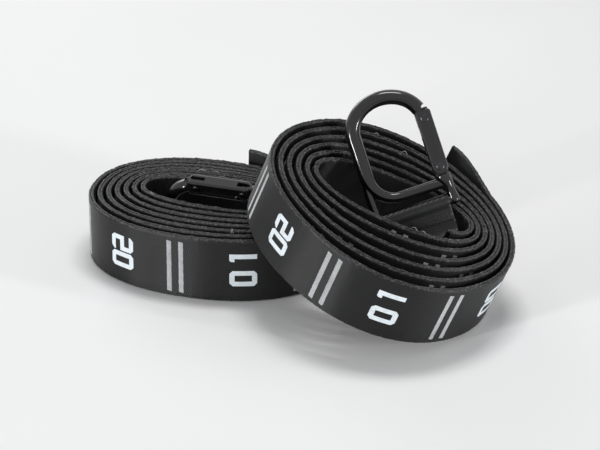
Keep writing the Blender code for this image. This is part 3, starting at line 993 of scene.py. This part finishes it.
class Webbing(StrapPiece):
    """The plies of a strap as fine meshes with swollen, frayed edges."""

    PROFILE = ((-1.0, 0.45), (-0.985, 1.0), (-0.95, 1.14), (-0.88, 1.0), (0.0, 1.0), (0.88, 1.0), (0.95, 1.14),
               (0.985, 1.0), (1.0, 0.45))
    EDGE_START = 0.9
    EDGE_REACH = 0.08
    FRAY = 0.8 * MM
    LOWER_FRAY = 0.2
    CORD = 1.9 * MM
    CORD_SWELL = 0.14
    ROUGH_SWELL = 0.25
    FINE_SCALES = (540.0, 3.0)
    COARSE_SCALES = (190.0, 2.0)
    COARSE_SEED = 4.1
    COARSE_SHARE = 0.6
    SHARP = 60.0

    def rough(self, along: float, share: float, scales: Pair, seed: float) -> float:
        """Return how the edge strays from straight.

        Args:
            along: Distance from the cut end.
            share: Place across the width, from -1 to 1.
            scales: The noise's scales along and across.
            seed: Where the noise is read.

        Returns:
            A value between -1 and 1.
        """
        return noise.noise(Vector((along * scales[0], share * scales[1], seed)))

    def ring(self, path: StrapPath, index: int, seed: float) -> list[Vector]:
        """Return one ring of a ply.

        Args:
            path: The ply's line.
            index: The line's point.
            seed: Where the edges' roughness is read.

        Returns:
            The ring's points.
        """
        half_width, half_ply = WEBBING.width / 2, WEBBING.woven / 2
        upper, lower = [], []
        along = path.lengths[index]
        cord = math.sin(FULL_TURN * along / self.CORD)
        for share, thick in self.PROFILE:
            edge = smooth((abs(share) - self.EDGE_START) / self.EDGE_REACH)
            rough = self.rough(along, share, self.FINE_SCALES, seed)
            rough += self.COARSE_SHARE * self.rough(along, share, self.COARSE_SCALES, self.COARSE_SEED)
            fray = edge * (0.5 + 0.5 * rough) * self.FRAY * (1.0 if share > 0 else self.LOWER_FRAY)
            swell = 1 + edge * (self.CORD_SWELL * cord + self.ROUGH_SWELL * rough)
            middle = path.points[index] + path.widths[index] * (share * half_width + math.copysign(fray, share))
            upper.append(middle + path.outwards[index] * (half_ply * thick * swell))
            lower.append(middle - path.outwards[index] * (half_ply * thick * swell))
        return upper + lower[::-1]

    def build(self, ply: Ply) -> None:
        """Args:
            ply: Which ply.
        """
        node = f"{self.side}_{ply.value}_webbing"
        mesh = Mesh(node + "_woven")
        path = self.roll.lines[ply]
        seed = WEBBING.width / 2 + len(mesh.name)
        rings = [mesh.ring(self.ring(path, index, seed)) for index in range(len(path.points))]
        across = [share * (WEBBING.width / 2) for share, _ in self.PROFILE]
        across += across[::-1]
        mesh.skin(rings, lambda strip, end, at: (path.lengths[strip + end], across[at % len(across)]))
        mesh.face(rings[0][::-1])
        mesh.face(rings[-1])
        made = self.attach(mesh, self.looks.webbing, self.SHARP)
        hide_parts(node)


class Digit:
    """A squared numeral of plain bars with cut corners."""

    BARS = {"0": "abcdef", "1": "bc", "2": "abged", "3": "abgcd", "4": "fgbc", "5": "afgcd", "6": "afgecd",
            "7": "abc", "8": "abcdefg", "9": "abcdfg"}
    FLAG = 0.65

    def __init__(self, value: str, width: float, height: float, stroke: float, cut: float) -> None:
        """Lay out the numeral.

        Args:
            value: The numeral.
            width: Its width.
            height: Its height.
            stroke: The bars' width.
            cut: How far the corners are cut back.
        """
        self.bars = self.BARS[value]
        self.size = (width, height, stroke, cut)
        self.single = value == "1"

    def outlines(self) -> list[list[Pair]]:
        """Return the numeral's bars as outlines that meet edge to edge.

        Returns:
            Outlines in the numeral's own plane, its lower left corner at the origin.
        """
        width, height, stroke, cut = self.size
        if self.single:
            left = width - stroke
            reach = stroke * self.FLAG
            flag = [(left - reach, height - stroke), (left, height - stroke), (left, height),
                    (left - reach + cut / 2, height), (left - reach, height - cut / 2)]
            return [[(left, 0), (left + stroke, 0), (left + stroke, height), (left, height)], flag]
        shapes = []
        for upper, name, neighbours in ((True, "a", "fb"), (False, "d", "ec")):
            if name in self.bars:
                shapes.append([self.flip(point, upper) for point in self.level_bar(neighbours)])
        for name, right, upper, other, level in (("f", False, True, "e", "a"), ("b", True, True, "c", "a"),
                                                 ("e", False, False, "f", "d"), ("c", True, False, "b", "d")):
            if name in self.bars:
                bar = self.upright_bar(other in self.bars, level in self.bars)
                shapes.append([self.flip((width - x if right else x, y), upper) for x, y in bar])
        if "g" in self.bars:
            low, high = (height - stroke) / 2, (height + stroke) / 2
            shapes.append([(stroke, low), (width - stroke, low), (width - stroke, high), (stroke, high)])
        return shapes

    def flip(self, point: Pair, upper: bool) -> Pair:
        """Return a point of the lower half, or its mirror image in the upper half.

        Args:
            point: The point.
            upper: Whether it belongs to the upper half.

        Returns:
            The placed point.
        """
        return (point[0], self.size[1] - point[1]) if upper else point

    def level_bar(self, neighbours: str) -> list[Pair]:
        """Return the bottom bar.

        Args:
            neighbours: Names of the upright bars at its left and right end.

        Returns:
            Its outline.
        """
        width, _, stroke, cut = self.size
        left, right = (name in self.bars for name in neighbours)
        start = [(stroke, stroke), (cut / 2, cut / 2)] if left else [(stroke, stroke), (0, stroke), (0, cut)]
        end = [(width - cut / 2, cut / 2), (width - stroke, stroke)] if right else \
            [(width, cut), (width, stroke), (width - stroke, stroke)]
        return start + [(cut, 0), (width - cut, 0)] + end

    def upright_bar(self, goes_on: bool, has_level: bool) -> list[Pair]:
        """Return the lower left bar.

        Args:
            goes_on: Whether the bar above it is there too.
            has_level: Whether the bottom bar is there.

        Returns:
            Its outline.
        """
        _, height, stroke, cut = self.size
        top = height / 2 if goes_on else (height + stroke) / 2
        if has_level:
            return [(stroke, stroke), (stroke, top), (0, top), (0, cut), (cut / 2, cut / 2)]
        return [(stroke, 0), (stroke, top), (0, top), (0, 0)]


class Marks(StrapPiece):
    """Printed numbers and bar tacks along one strap."""

    FIRST_TACK = {Side.LEFT: 50 * MM, Side.RIGHT: 77 * MM}
    FIRST_NUMBER = {Side.LEFT: 84 * MM, Side.RIGHT: 113.5 * MM}
    SPACING = 73 * MM
    NUMBER_END = 20 * MM
    TACK_END = 12 * MM
    BAR_WIDTH = 2.7 * MM
    BAR_APART = 7.0 * MM
    BAR_LENGTH = 32.5 * MM
    DIGIT = (9.7 * MM, 15.5 * MM, 2.9 * MM, 1.8 * MM)
    DIGIT_GAP = 0.9 * MM
    DIGIT_RISE = 1.0 * MM
    STRIP = 1.4 * MM
    INK_LIFT = 0.07 * MM
    STITCH_PITCH = 0.75 * MM
    STITCH_UNEVEN = 0.25 * MM
    STITCH_LIFT = 0.02
    STITCH_RISES = ((-1.0, 0.02), (-0.55, 0.16), (0.0, 0.2), (0.55, 0.16), (1.0, 0.02))
    STITCH_EDGES = ((-0.46, 0.35), (0.0, 1.0), (0.46, 0.35))

    def places(self, first: dict[Side, float], end: float) -> list[float]:
        """Return the places of marks that repeat along the outer ply.

        Args:
            first: The first mark's place on each strap.
            end: How much of the inner end stays clear.

        Returns:
            Distances from the cut end.
        """
        places = []
        along = first[self.roll.size.side]
        while along < self.roll.lines[Ply.OUTER].length - end:
            places.append(along)
            along += self.SPACING
        return places

    def numbers(self) -> None:
        """Build the printed numbers, one between each two bar tacks."""
        mesh = Mesh(self.side + "_numbers")
        width, height, _, _ = self.DIGIT
        for value, along in enumerate(self.places(self.FIRST_NUMBER, self.NUMBER_END)):
            for column, sign in enumerate(f"{value:02d}"):
                start = (column - 1) * (width + self.DIGIT_GAP) + self.DIGIT_GAP / 2 + self.DIGIT_RISE
                for outline in Digit(sign, *self.DIGIT).outlines():
                    self.print_shape(mesh, outline, start, along - height / 2)
        self.attach(mesh, self.looks.ink)

    def print_shape(self, mesh: Mesh, outline: list[Pair], start: float, along: float) -> None:
        """Lay one outline on the strap, cut into narrow strips so that it follows the curve.

        Args:
            mesh: The mesh under construction.
            outline: The outline, x in reading direction and y up the numeral.
            start: Where the numeral begins across the width.
            along: Where its foot lies along the strap.
        """
        path = self.roll.lines[Ply.OUTER]
        scratch = bmesh.new()
        scratch.faces.new([scratch.verts.new((x, y, 0)) for x, y in outline])
        low = min(y for _, y in outline)
        high = max(y for _, y in outline)
        steps = max(int((high - low) / self.STRIP), 1)
        for step in range(1, steps):
            level = low + (high - low) * step / steps
            geometry = scratch.verts[:] + scratch.edges[:] + scratch.faces[:]
            bmesh.ops.bisect_plane(scratch, geom=geometry, plane_co=(0, level, 0), plane_no=(0, 1, 0), dist=1e-7)
        lift = WEBBING.woven / 2 + self.INK_LIFT
        for shape in scratch.faces:
            corners = [(corner.co.x, corner.co.y) for corner in shape.verts]
            ring = [path.place(along + y, start + x, lift) for x, y in corners]
            mesh.face(mesh.ring(ring), [(along + y, start + x) for x, y in corners])
        scratch.free()

    def tacks(self, ply: Ply) -> None:
        """Build the pairs of bar tacks on one face: light on the outer one and black on the inner one.

        Args:
            ply: The ply whose open face they are on.
        """
        shown = ply is Ply.OUTER
        mesh = Mesh(f"{self.side}_{'outer' if shown else 'inner'}_bar_tacks")
        for middle in self.places(self.FIRST_TACK, self.TACK_END):
            for shift in (-self.BAR_APART / 2, self.BAR_APART / 2):
                self.bar(mesh, self.roll.lines[ply], middle + shift, 1.0 if shown else -1.0)
        self.attach(mesh, self.looks.thread if shown else self.looks.stitch)

    def bar(self, mesh: Mesh, path: StrapPath, middle: float, sign: float) -> None:
        """Add one bar of close zigzag stitches.

        Args:
            mesh: The mesh under construction.
            path: The ply's line.
            middle: Where the bar lies along the strap.
            sign: 1 for the outer face and -1 for the inner one.
        """
        surface = WEBBING.woven / 2 * sign
        for stitch in range(int(self.BAR_LENGTH / self.STITCH_PITCH)):
            across = -self.BAR_LENGTH / 2 + self.STITCH_PITCH * (stitch + 0.5)
            uneven = self.STITCH_UNEVEN * noise.noise(Vector((across * 2100.0, middle * 300.0, sign)))
            rows = []
            for share, rise in self.STITCH_RISES:
                along = middle + share * (self.BAR_WIDTH / 2 + uneven)
                slant = share * self.STITCH_PITCH * 0.25
                rows.append(mesh.ring([
                    path.place(along, across + slant + edge * self.STITCH_PITCH,
                               surface + sign * MM * (self.STITCH_LIFT + rise * height))
                    for edge, height in self.STITCH_EDGES]))
            mesh.skin(rows, closed=False)


class LooseThreads(StrapPiece):
    """Short light threads that stand off the wound edges: ply, place, length and rise of each."""

    PLACES = {
        Side.LEFT: (
            (Ply.BASE, 526 * MM, 1.5 * MM, 4.5 * MM), (Ply.OUTER, 1631 * MM, 5.0 * MM, 0.6 * MM),
            (Ply.OUTER, 1640 * MM, 4.0 * MM, 0.4 * MM), (Ply.BASE, 2041 * MM, 5.0 * MM, 0.8 * MM),
            (Ply.BASE, 1838 * MM, 5.0 * MM, 0.6 * MM), (Ply.OUTER, 2041 * MM, 4.0 * MM, 0.8 * MM)),
        Side.RIGHT: (
            (Ply.OUTER, 1181 * MM, 3.5 * MM, 1.6 * MM), (Ply.BASE, 1846 * MM, 3.5 * MM, 2.0 * MM),
            (Ply.BASE, 1841 * MM, 3.0 * MM, 1.2 * MM), (Ply.OUTER, 802 * MM, 2.5 * MM, 0.8 * MM)),
    }
    RADIUS = 0.16 * MM
    STANDOFF = 0.5 * MM
    SHARES = tuple(step / 8 for step in range(9))

    def build(self) -> None:
        """Build the threads, each a small bow on the upper edge."""
        mesh = Mesh(self.side + "_loose_threads")
        for ply, along, length, rise in self.PLACES[self.roll.size.side]:
            path = self.roll.lines[ply]
            bow = []
            for share in self.SHARES:
                height = rise * math.sin(math.pi * share) * (0.6 + 0.4 * share)
                across = WEBBING.width / 2 + self.STANDOFF + height
                bow.append(path.place(along + length * share, across, self.STANDOFF * math.sin(5 * share)))
            radii = [self.RADIUS * (0.5 + 0.5 * math.sin(math.pi * share)) for share in self.SHARES]
            mesh.tube(bow, radii, path.widths[0], 6)
        self.attach(mesh, self.looks.lint)


class SewnEnd(StrapPiece):
    """Stitching that closes the base ply's loop round the slot bar."""

    STITCHES = 15
    MARGIN = 2.5 * MM
    HALF_STITCH = 0.8 * MM
    RISE = 0.16 * MM
    ROWS = {True: (1.6 * MM, 3.4 * MM), False: (2.0 * MM, 4.2 * MM)}
    RADII = ((-1.0, 0.06 * MM), (-0.5, 0.13 * MM), (0.0, 0.15 * MM), (0.5, 0.13 * MM), (1.0, 0.06 * MM))

    def build(self) -> None:
        """Build rows of stitches across the sewn end."""
        path = self.roll.lines[Ply.BASE]
        placement = self.roll.placement
        mesh = Mesh(self.side + "_loop_stitching")
        span = WEBBING.width - 2 * self.MARGIN
        for back in self.ROWS[placement.folded_back]:
            for stitch in range(self.STITCHES):
                across = -WEBBING.width / 2 + self.MARGIN + span * (stitch + 0.5) / self.STITCHES
                bow = [path.place(path.length - back, across + share * self.HALF_STITCH,
                                  -WEBBING.woven / 2 - self.RISE * (1 - share * share))
                       for share, _ in self.RADII]
                mesh.tube(bow, [radius for _, radius in self.RADII], path.headings[-1], 6)
        LOG.info("sewn end %s over %.0f mm", self.side, placement.sewn_length / MM)
        self.attach(mesh, self.looks.stitch)


class CarabinerFrame(StrapPiece):
    """The carabiner's one-piece frame as smooth swept rods."""

    ROD_SIDES = 32
    NOSE_ANGLE = 14
    THINNING = 14
    SHARP = 50.0

    def __init__(self, roll: Roll, looks: Looks) -> None:
        """Start the frame's mesh.

        Args:
            roll: The strap's roll.
            looks: The materials.
        """
        super().__init__(roll, looks)
        self.mesh = Mesh(self.side + "_carabiner_frame")
        self.depth = roll.metal.to_3x3().col[2].copy()

    def world(self, x: float, y: float, z: float = 0.0) -> Vector:
        """Return a point of the carabiner's frame in the world.

        Args:
            x: Towards the gate.
            y: Towards the arc.
            z: Towards the front.

        Returns:
            The point.
        """
        return self.roll.metal @ Vector((x, y, z))

    def arc(self, centre: Pair, half_x: float, half_y: float, first: float, last: float, count: int) -> list[Pair]:
        """Return points on an ellipse.

        Args:
            centre: The ellipse's centre.
            half_x: Half its width.
            half_y: Half its height.
            first: First angle.
            last: Last angle.
            count: How many steps.

        Returns:
            The points.
        """
        angles = [math.radians(first + (last - first) * step / count) for step in range(count + 1)]
        return [(centre[0] + half_x * math.cos(angle), centre[1] + half_y * math.sin(angle)) for angle in angles]

    def rod(self, path: list[Pair], radii: list[float]) -> None:
        """Add one rod in the carabiner's plane.

        Args:
            path: The rod's centre line.
            radii: The radius at each point.
        """
        self.mesh.tube([self.world(x, y) for x, y in path], radii, self.depth, self.ROD_SIDES)

    def d_shape(self) -> None:
        """Add the spine, arc and base bar as one rod."""
        size = CARABINER
        reach = size.gate_x - size.spine_x
        centre = (size.spine_x + reach / 2 - size.crown_shift, size.arc_top - size.arc_height)
        nose_x = size.gate_x - size.nose_inset
        bend_x, bend_y = size.spine_x + size.corner, size.base_y + size.corner
        arc = self.arc(centre, centre[0] - size.spine_x, size.arc_height, 180, 90, 24)
        arc += self.arc(centre, nose_x - centre[0], size.arc_height, 90, self.NOSE_ANGLE, 20)[1:]
        spine = [(size.spine_x, bend_y + (centre[1] - bend_y) * step / 8) for step in range(1, 8)]
        corner = self.arc((bend_x, bend_y), size.corner, size.corner, 180, 270, 16)
        base = [(bend_x + (size.base_end - bend_x) * step / 12, size.base_y) for step in range(1, 13)]
        path = [(size.gate_x - 0.2 * MM, size.nose_y)] + arc[::-1] + spine[::-1] + corner + base
        bend = 1 + len(arc) + len(spine)
        radii = [size.rod + (size.base_bar - size.rod) * min(max((index - bend) / self.THINNING, 0), 1)
                 for index in range(len(path))]
        self.rod(path, radii)

    def slot_frame(self) -> None:
        """Add the slot bar, its left post and the ear with the shoulder below the gate."""
        size = CARABINER
        edge = WEBBING.width / 2 + size.side_gap
        post_x = edge + size.post
        bend = size.post_corner
        knots = [(-post_x + size.join_inset, size.base_y + size.join_rise),
                 (-post_x, size.base_y + size.join_rise / 2), (-post_x, bend), (-post_x + bend / 3, bend / 3),
                 (-post_x + bend, 0.0), (-8 * MM, 0.0), (8 * MM, 0.0), (post_x, 0.0)]
        line = smooth_line([Vector(knot) for knot in knots], 5)
        radii = [size.post + (size.slot_bar - size.post) * min(index / 20, 1) for index in range(len(line))]
        self.rod([(point.x, point.y) for point in line], radii)
        ear_x = edge + size.ear
        # Each knot of the ear holds x, y and the rod's radius there.
        knots = [(ear_x, -size.ear * 0.92, size.ear * 0.35), (ear_x, -size.ear * 0.6, size.ear * 0.8),
                 (ear_x, 0.0, size.ear), (edge + size.ear * 0.85, 6 * MM, size.ear * 0.85),
                 (size.gate_x + 0.9 * MM, 10 * MM, 3.9 * MM), (size.gate_x, size.shoulder_y - 2 * MM, 4.3 * MM),
                 (size.gate_x, size.shoulder_y - 0.35 * MM, 4.3 * MM), (size.gate_x, size.shoulder_y, 3.9 * MM)]
        line = smooth_line([Vector(knot) for knot in knots], 4)
        self.rod([(point.x, point.y) for point in line], [point.z for point in line])

    def plate(self, outline: list[Pair]) -> None:
        """Add a flat tongue with eased edges.

        Args:
            outline: The tongue's outline.
        """
        half = CARABINER.tongue / 2
        eased = half - CARABINER.tongue_bevel
        middle = (sum(x for x, _ in outline) / len(outline), sum(y for _, y in outline) / len(outline))
        rings = []
        for level, share in ((-half, 0.93), (-eased, 1.0), (eased, 1.0), (half, 0.93)):
            rings.append(self.mesh.ring([
                self.world(middle[0] + (x - middle[0]) * share, middle[1] + (y - middle[1]) * share, level)
                for x, y in outline]))
        self.mesh.skin(rings)
        self.mesh.face(rings[0])
        self.mesh.face(rings[-1])

    def tongues(self) -> None:
        """Add the hinge lug and the hook that the latch pin closes behind."""
        size = CARABINER
        hinge = (size.gate_x, size.hinge_y)
        root = size.shoulder_y - 1 * MM
        cam = size.lug + size.cam_rise
        self.plate([(size.gate_x + size.lug, root)] + self.arc(hinge, size.lug, size.lug, 0, 90, 8)
                   + self.arc(hinge, cam, cam, 115, 180, 6) + [(size.gate_x - size.lug - size.cam_rise, root)])
        low, high = size.pin_y - size.pin_room, size.pin_y + size.pin_room
        foot, top = low - size.hook_lip, size.nose_y + 1 * MM
        inner, lip = size.gate_x - 2.4 * MM, size.gate_x - 0.8 * MM
        back, outer = size.gate_x + size.pin_room, size.gate_x + size.hook_outer
        self.plate([(inner, top), (inner, high), (outer, high), (outer, top)])
        self.plate([(back, high), (back, foot), (outer, foot), (outer, high)])
        self.plate([(lip, low), (lip, foot), (back, foot), (back, low)])

    def build(self) -> None:
        """Build the frame."""
        self.d_shape()
        self.slot_frame()
        self.tongues()
        made = self.mesh.finish(self.looks.black_metal, self.side + "_frame", self.SHARP)
        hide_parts(self.side + "_carabiner")


class Strap:
    """One strap with all that is on it."""

    SHARP = 32.0

    def __init__(self, side: Side, looks: Looks) -> None:
        """Prepare the strap.

        Args:
            side: Which strap.
            looks: The materials.
        """
        self.side = side.value
        self.looks = looks
        self.roll = Roll(ROLLS[side], PLACEMENTS[side])

    def build(self) -> None:
        """Build the plies, marks, stitching and carabiner, and dress the carried-over solids."""
        marks = Marks(self.roll, self.looks)
        webbing = Webbing(self.roll, self.looks)
        for ply in Ply:
            webbing.build(ply)
        marks.numbers()
        for ply in Ply:
            marks.tacks(ply)
        for kind in (LooseThreads, SewnEnd, CarabinerFrame):
            kind(self.roll, self.looks).build()
        self.dress("gate", self.looks.black_metal)
        self.dress("gate_rivet", self.looks.dark_steel)
        self.dress("latch_pin", self.looks.dark_steel)
        self.dress("gate_spring", self.looks.spring_steel)
        self.dress("spring_plunger", self.looks.spring_steel)

    def dress(self, part: str, material: bpy.types.Material) -> None:
        """Give a carried-over solid its material.

        Args:
            part: The solid's name without its side.
            material: Its material.
        """
        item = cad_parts[f"{self.side}_{part}"]
        item.data.materials.clear()
        item.data.materials.append(material)
        item.data.shade_smooth()
        item.data.set_sharp_from_angle(angle=math.radians(self.SHARP))
        LOG.info("solid %s_%s dressed", self.side, part)


@dataclass(frozen=True)
class Lamp:
    """A soft area lamp that faces the pair, with its size in metres and its power in watts."""

    name: str
    place: Triple
    size: Pair
    power: float

    AIM = Vector((0.0, 0.01, 0.03))

    def build(self) -> None:
        """Add the lamp."""
        data = bpy.data.lights.new(self.name, "AREA")
        data.shape = "RECTANGLE"
        data.size, data.size_y = self.size
        data.energy = self.power
        made = bpy.data.objects.new(self.name, data)
        bpy.context.scene.collection.objects.link(made)
        made.location = self.place
        made.rotation_euler = (self.AIM - Vector(self.place)).to_track_quat("-Z", "Y").to_euler()


class Studio:
    """Camera, floor, background and lamps."""

    TARGET = Vector((2.6, 28.3, 15.0)) * MM + PAIR_SHIFT
    DISTANCE = 1406 * MM
    ELEVATION = 28.0
    ROLL = 0.63
    LENS = 144.0
    SENSOR = 36.0
    FAR = 20.0
    FILL = (0.28, 0.283, 0.288, 1.0)
    WHITE = (1.0, 1.0, 1.0, 1.0)
    FLOOR_HALF = 6.0
    FLOOR_DROP = 0.3 * MM
    FLOOR_SHADES = ((0.93, 0.93, 0.93), (0.95, 0.95, 0.95))
    FLOOR_ENDS = (0.3, 0.7)
    FLOOR_ROUGHNESS = 0.9
    FLOOR_GLOSS = 0.1
    LAMPS = (
        Lamp("key", place=(-1.0, -0.85, 0.22), size=(0.07, 0.42), power=11.5),
        Lamp("side", place=(1.2, -0.6, 0.22), size=(0.07, 0.42), power=10.0),
        Lamp("top", place=(0.05, 0.2, 1.2), size=(0.5, 0.25), power=6.0),
        Lamp("back", place=(-0.55, 1.0, 0.5), size=(0.7, 0.3), power=3.0),
    )

    def camera(self) -> None:
        """Place the camera as the photograph was taken."""
        data = bpy.data.cameras.new("camera")
        data.lens = self.LENS
        data.sensor_width = self.SENSOR
        data.clip_end = self.FAR
        made = bpy.data.objects.new("camera", data)
        bpy.context.scene.collection.objects.link(made)
        angle = math.radians(self.ELEVATION)
        forward = Vector((0.0, math.cos(angle), -math.sin(angle)))
        level = Vector((1.0, 0.0, 0.0))
        above = level.cross(forward)
        turn = math.radians(self.ROLL)
        right = level * math.cos(turn) + above * math.sin(turn)
        top = above * math.cos(turn) - level * math.sin(turn)
        axes = Matrix((right, top, -forward)).transposed().to_4x4()
        made.matrix_world = Matrix.Translation(self.TARGET - forward * self.DISTANCE) @ axes
        bpy.context.scene.camera = made

    def surroundings(self) -> None:
        """Show plain white behind the pair and in its reflections, and light it evenly."""
        world = bpy.data.worlds.new("studio")
        world.use_nodes = True
        tree = world.node_tree
        path = tree.nodes.new("ShaderNodeLightPath")
        mixed = tree.nodes.new("ShaderNodeMix")
        mixed.data_type = "RGBA"
        seen = path.outputs["Is Camera Ray"]
        for kind in ("Is Glossy Ray", "Is Transmission Ray"):
            either = tree.nodes.new("ShaderNodeMath")
            either.operation = "MAXIMUM"
            tree.links.new(seen, either.inputs[0])
            tree.links.new(path.outputs[kind], either.inputs[1])
            seen = either.outputs[0]
        tree.links.new(seen, mixed.inputs[0])
        mixed.inputs[6].default_value = self.FILL
        mixed.inputs[7].default_value = self.WHITE
        tree.links.new(mixed.outputs[2], tree.nodes["Background"].inputs["Color"])
        bpy.context.scene.world = world

    def floor(self) -> None:
        """Add the pale floor."""
        build = bmesh.new()
        bmesh.ops.create_grid(build, x_segments=1, y_segments=1, size=self.FLOOR_HALF)
        data = bpy.data.meshes.new("floor")
        build.to_mesh(data)
        build.free()
        nodes = Nodes("pale_floor")
        cloud = nodes.noise(nodes.add("TexCoord").outputs["Object"], 3.0)
        nodes.shade(Base_Color=nodes.ramp(cloud, self.FLOOR_ENDS, self.FLOOR_SHADES),
                    Roughness=self.FLOOR_ROUGHNESS, Specular_IOR_Level=self.FLOOR_GLOSS)
        data.materials.append(nodes.material)
        made = bpy.data.objects.new("floor", data)
        made.location = (0, 0, -self.FLOOR_DROP)
        bpy.context.scene.collection.objects.link(made)

    def build(self) -> None:
        """Build the whole studio."""
        self.camera()
        self.surroundings()
        self.floor()
        for lamp in self.LAMPS:
            lamp.build()
        bpy.context.scene.view_settings.view_transform = "Standard"


def main() -> None:
    """Dress the frame."""
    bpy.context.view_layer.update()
    Studio().build()
    looks = Looks()
    for side in Side:
        Strap(side, looks).build()
    LOG.info("sizes written")


if __name__ == "__main__":
    main()
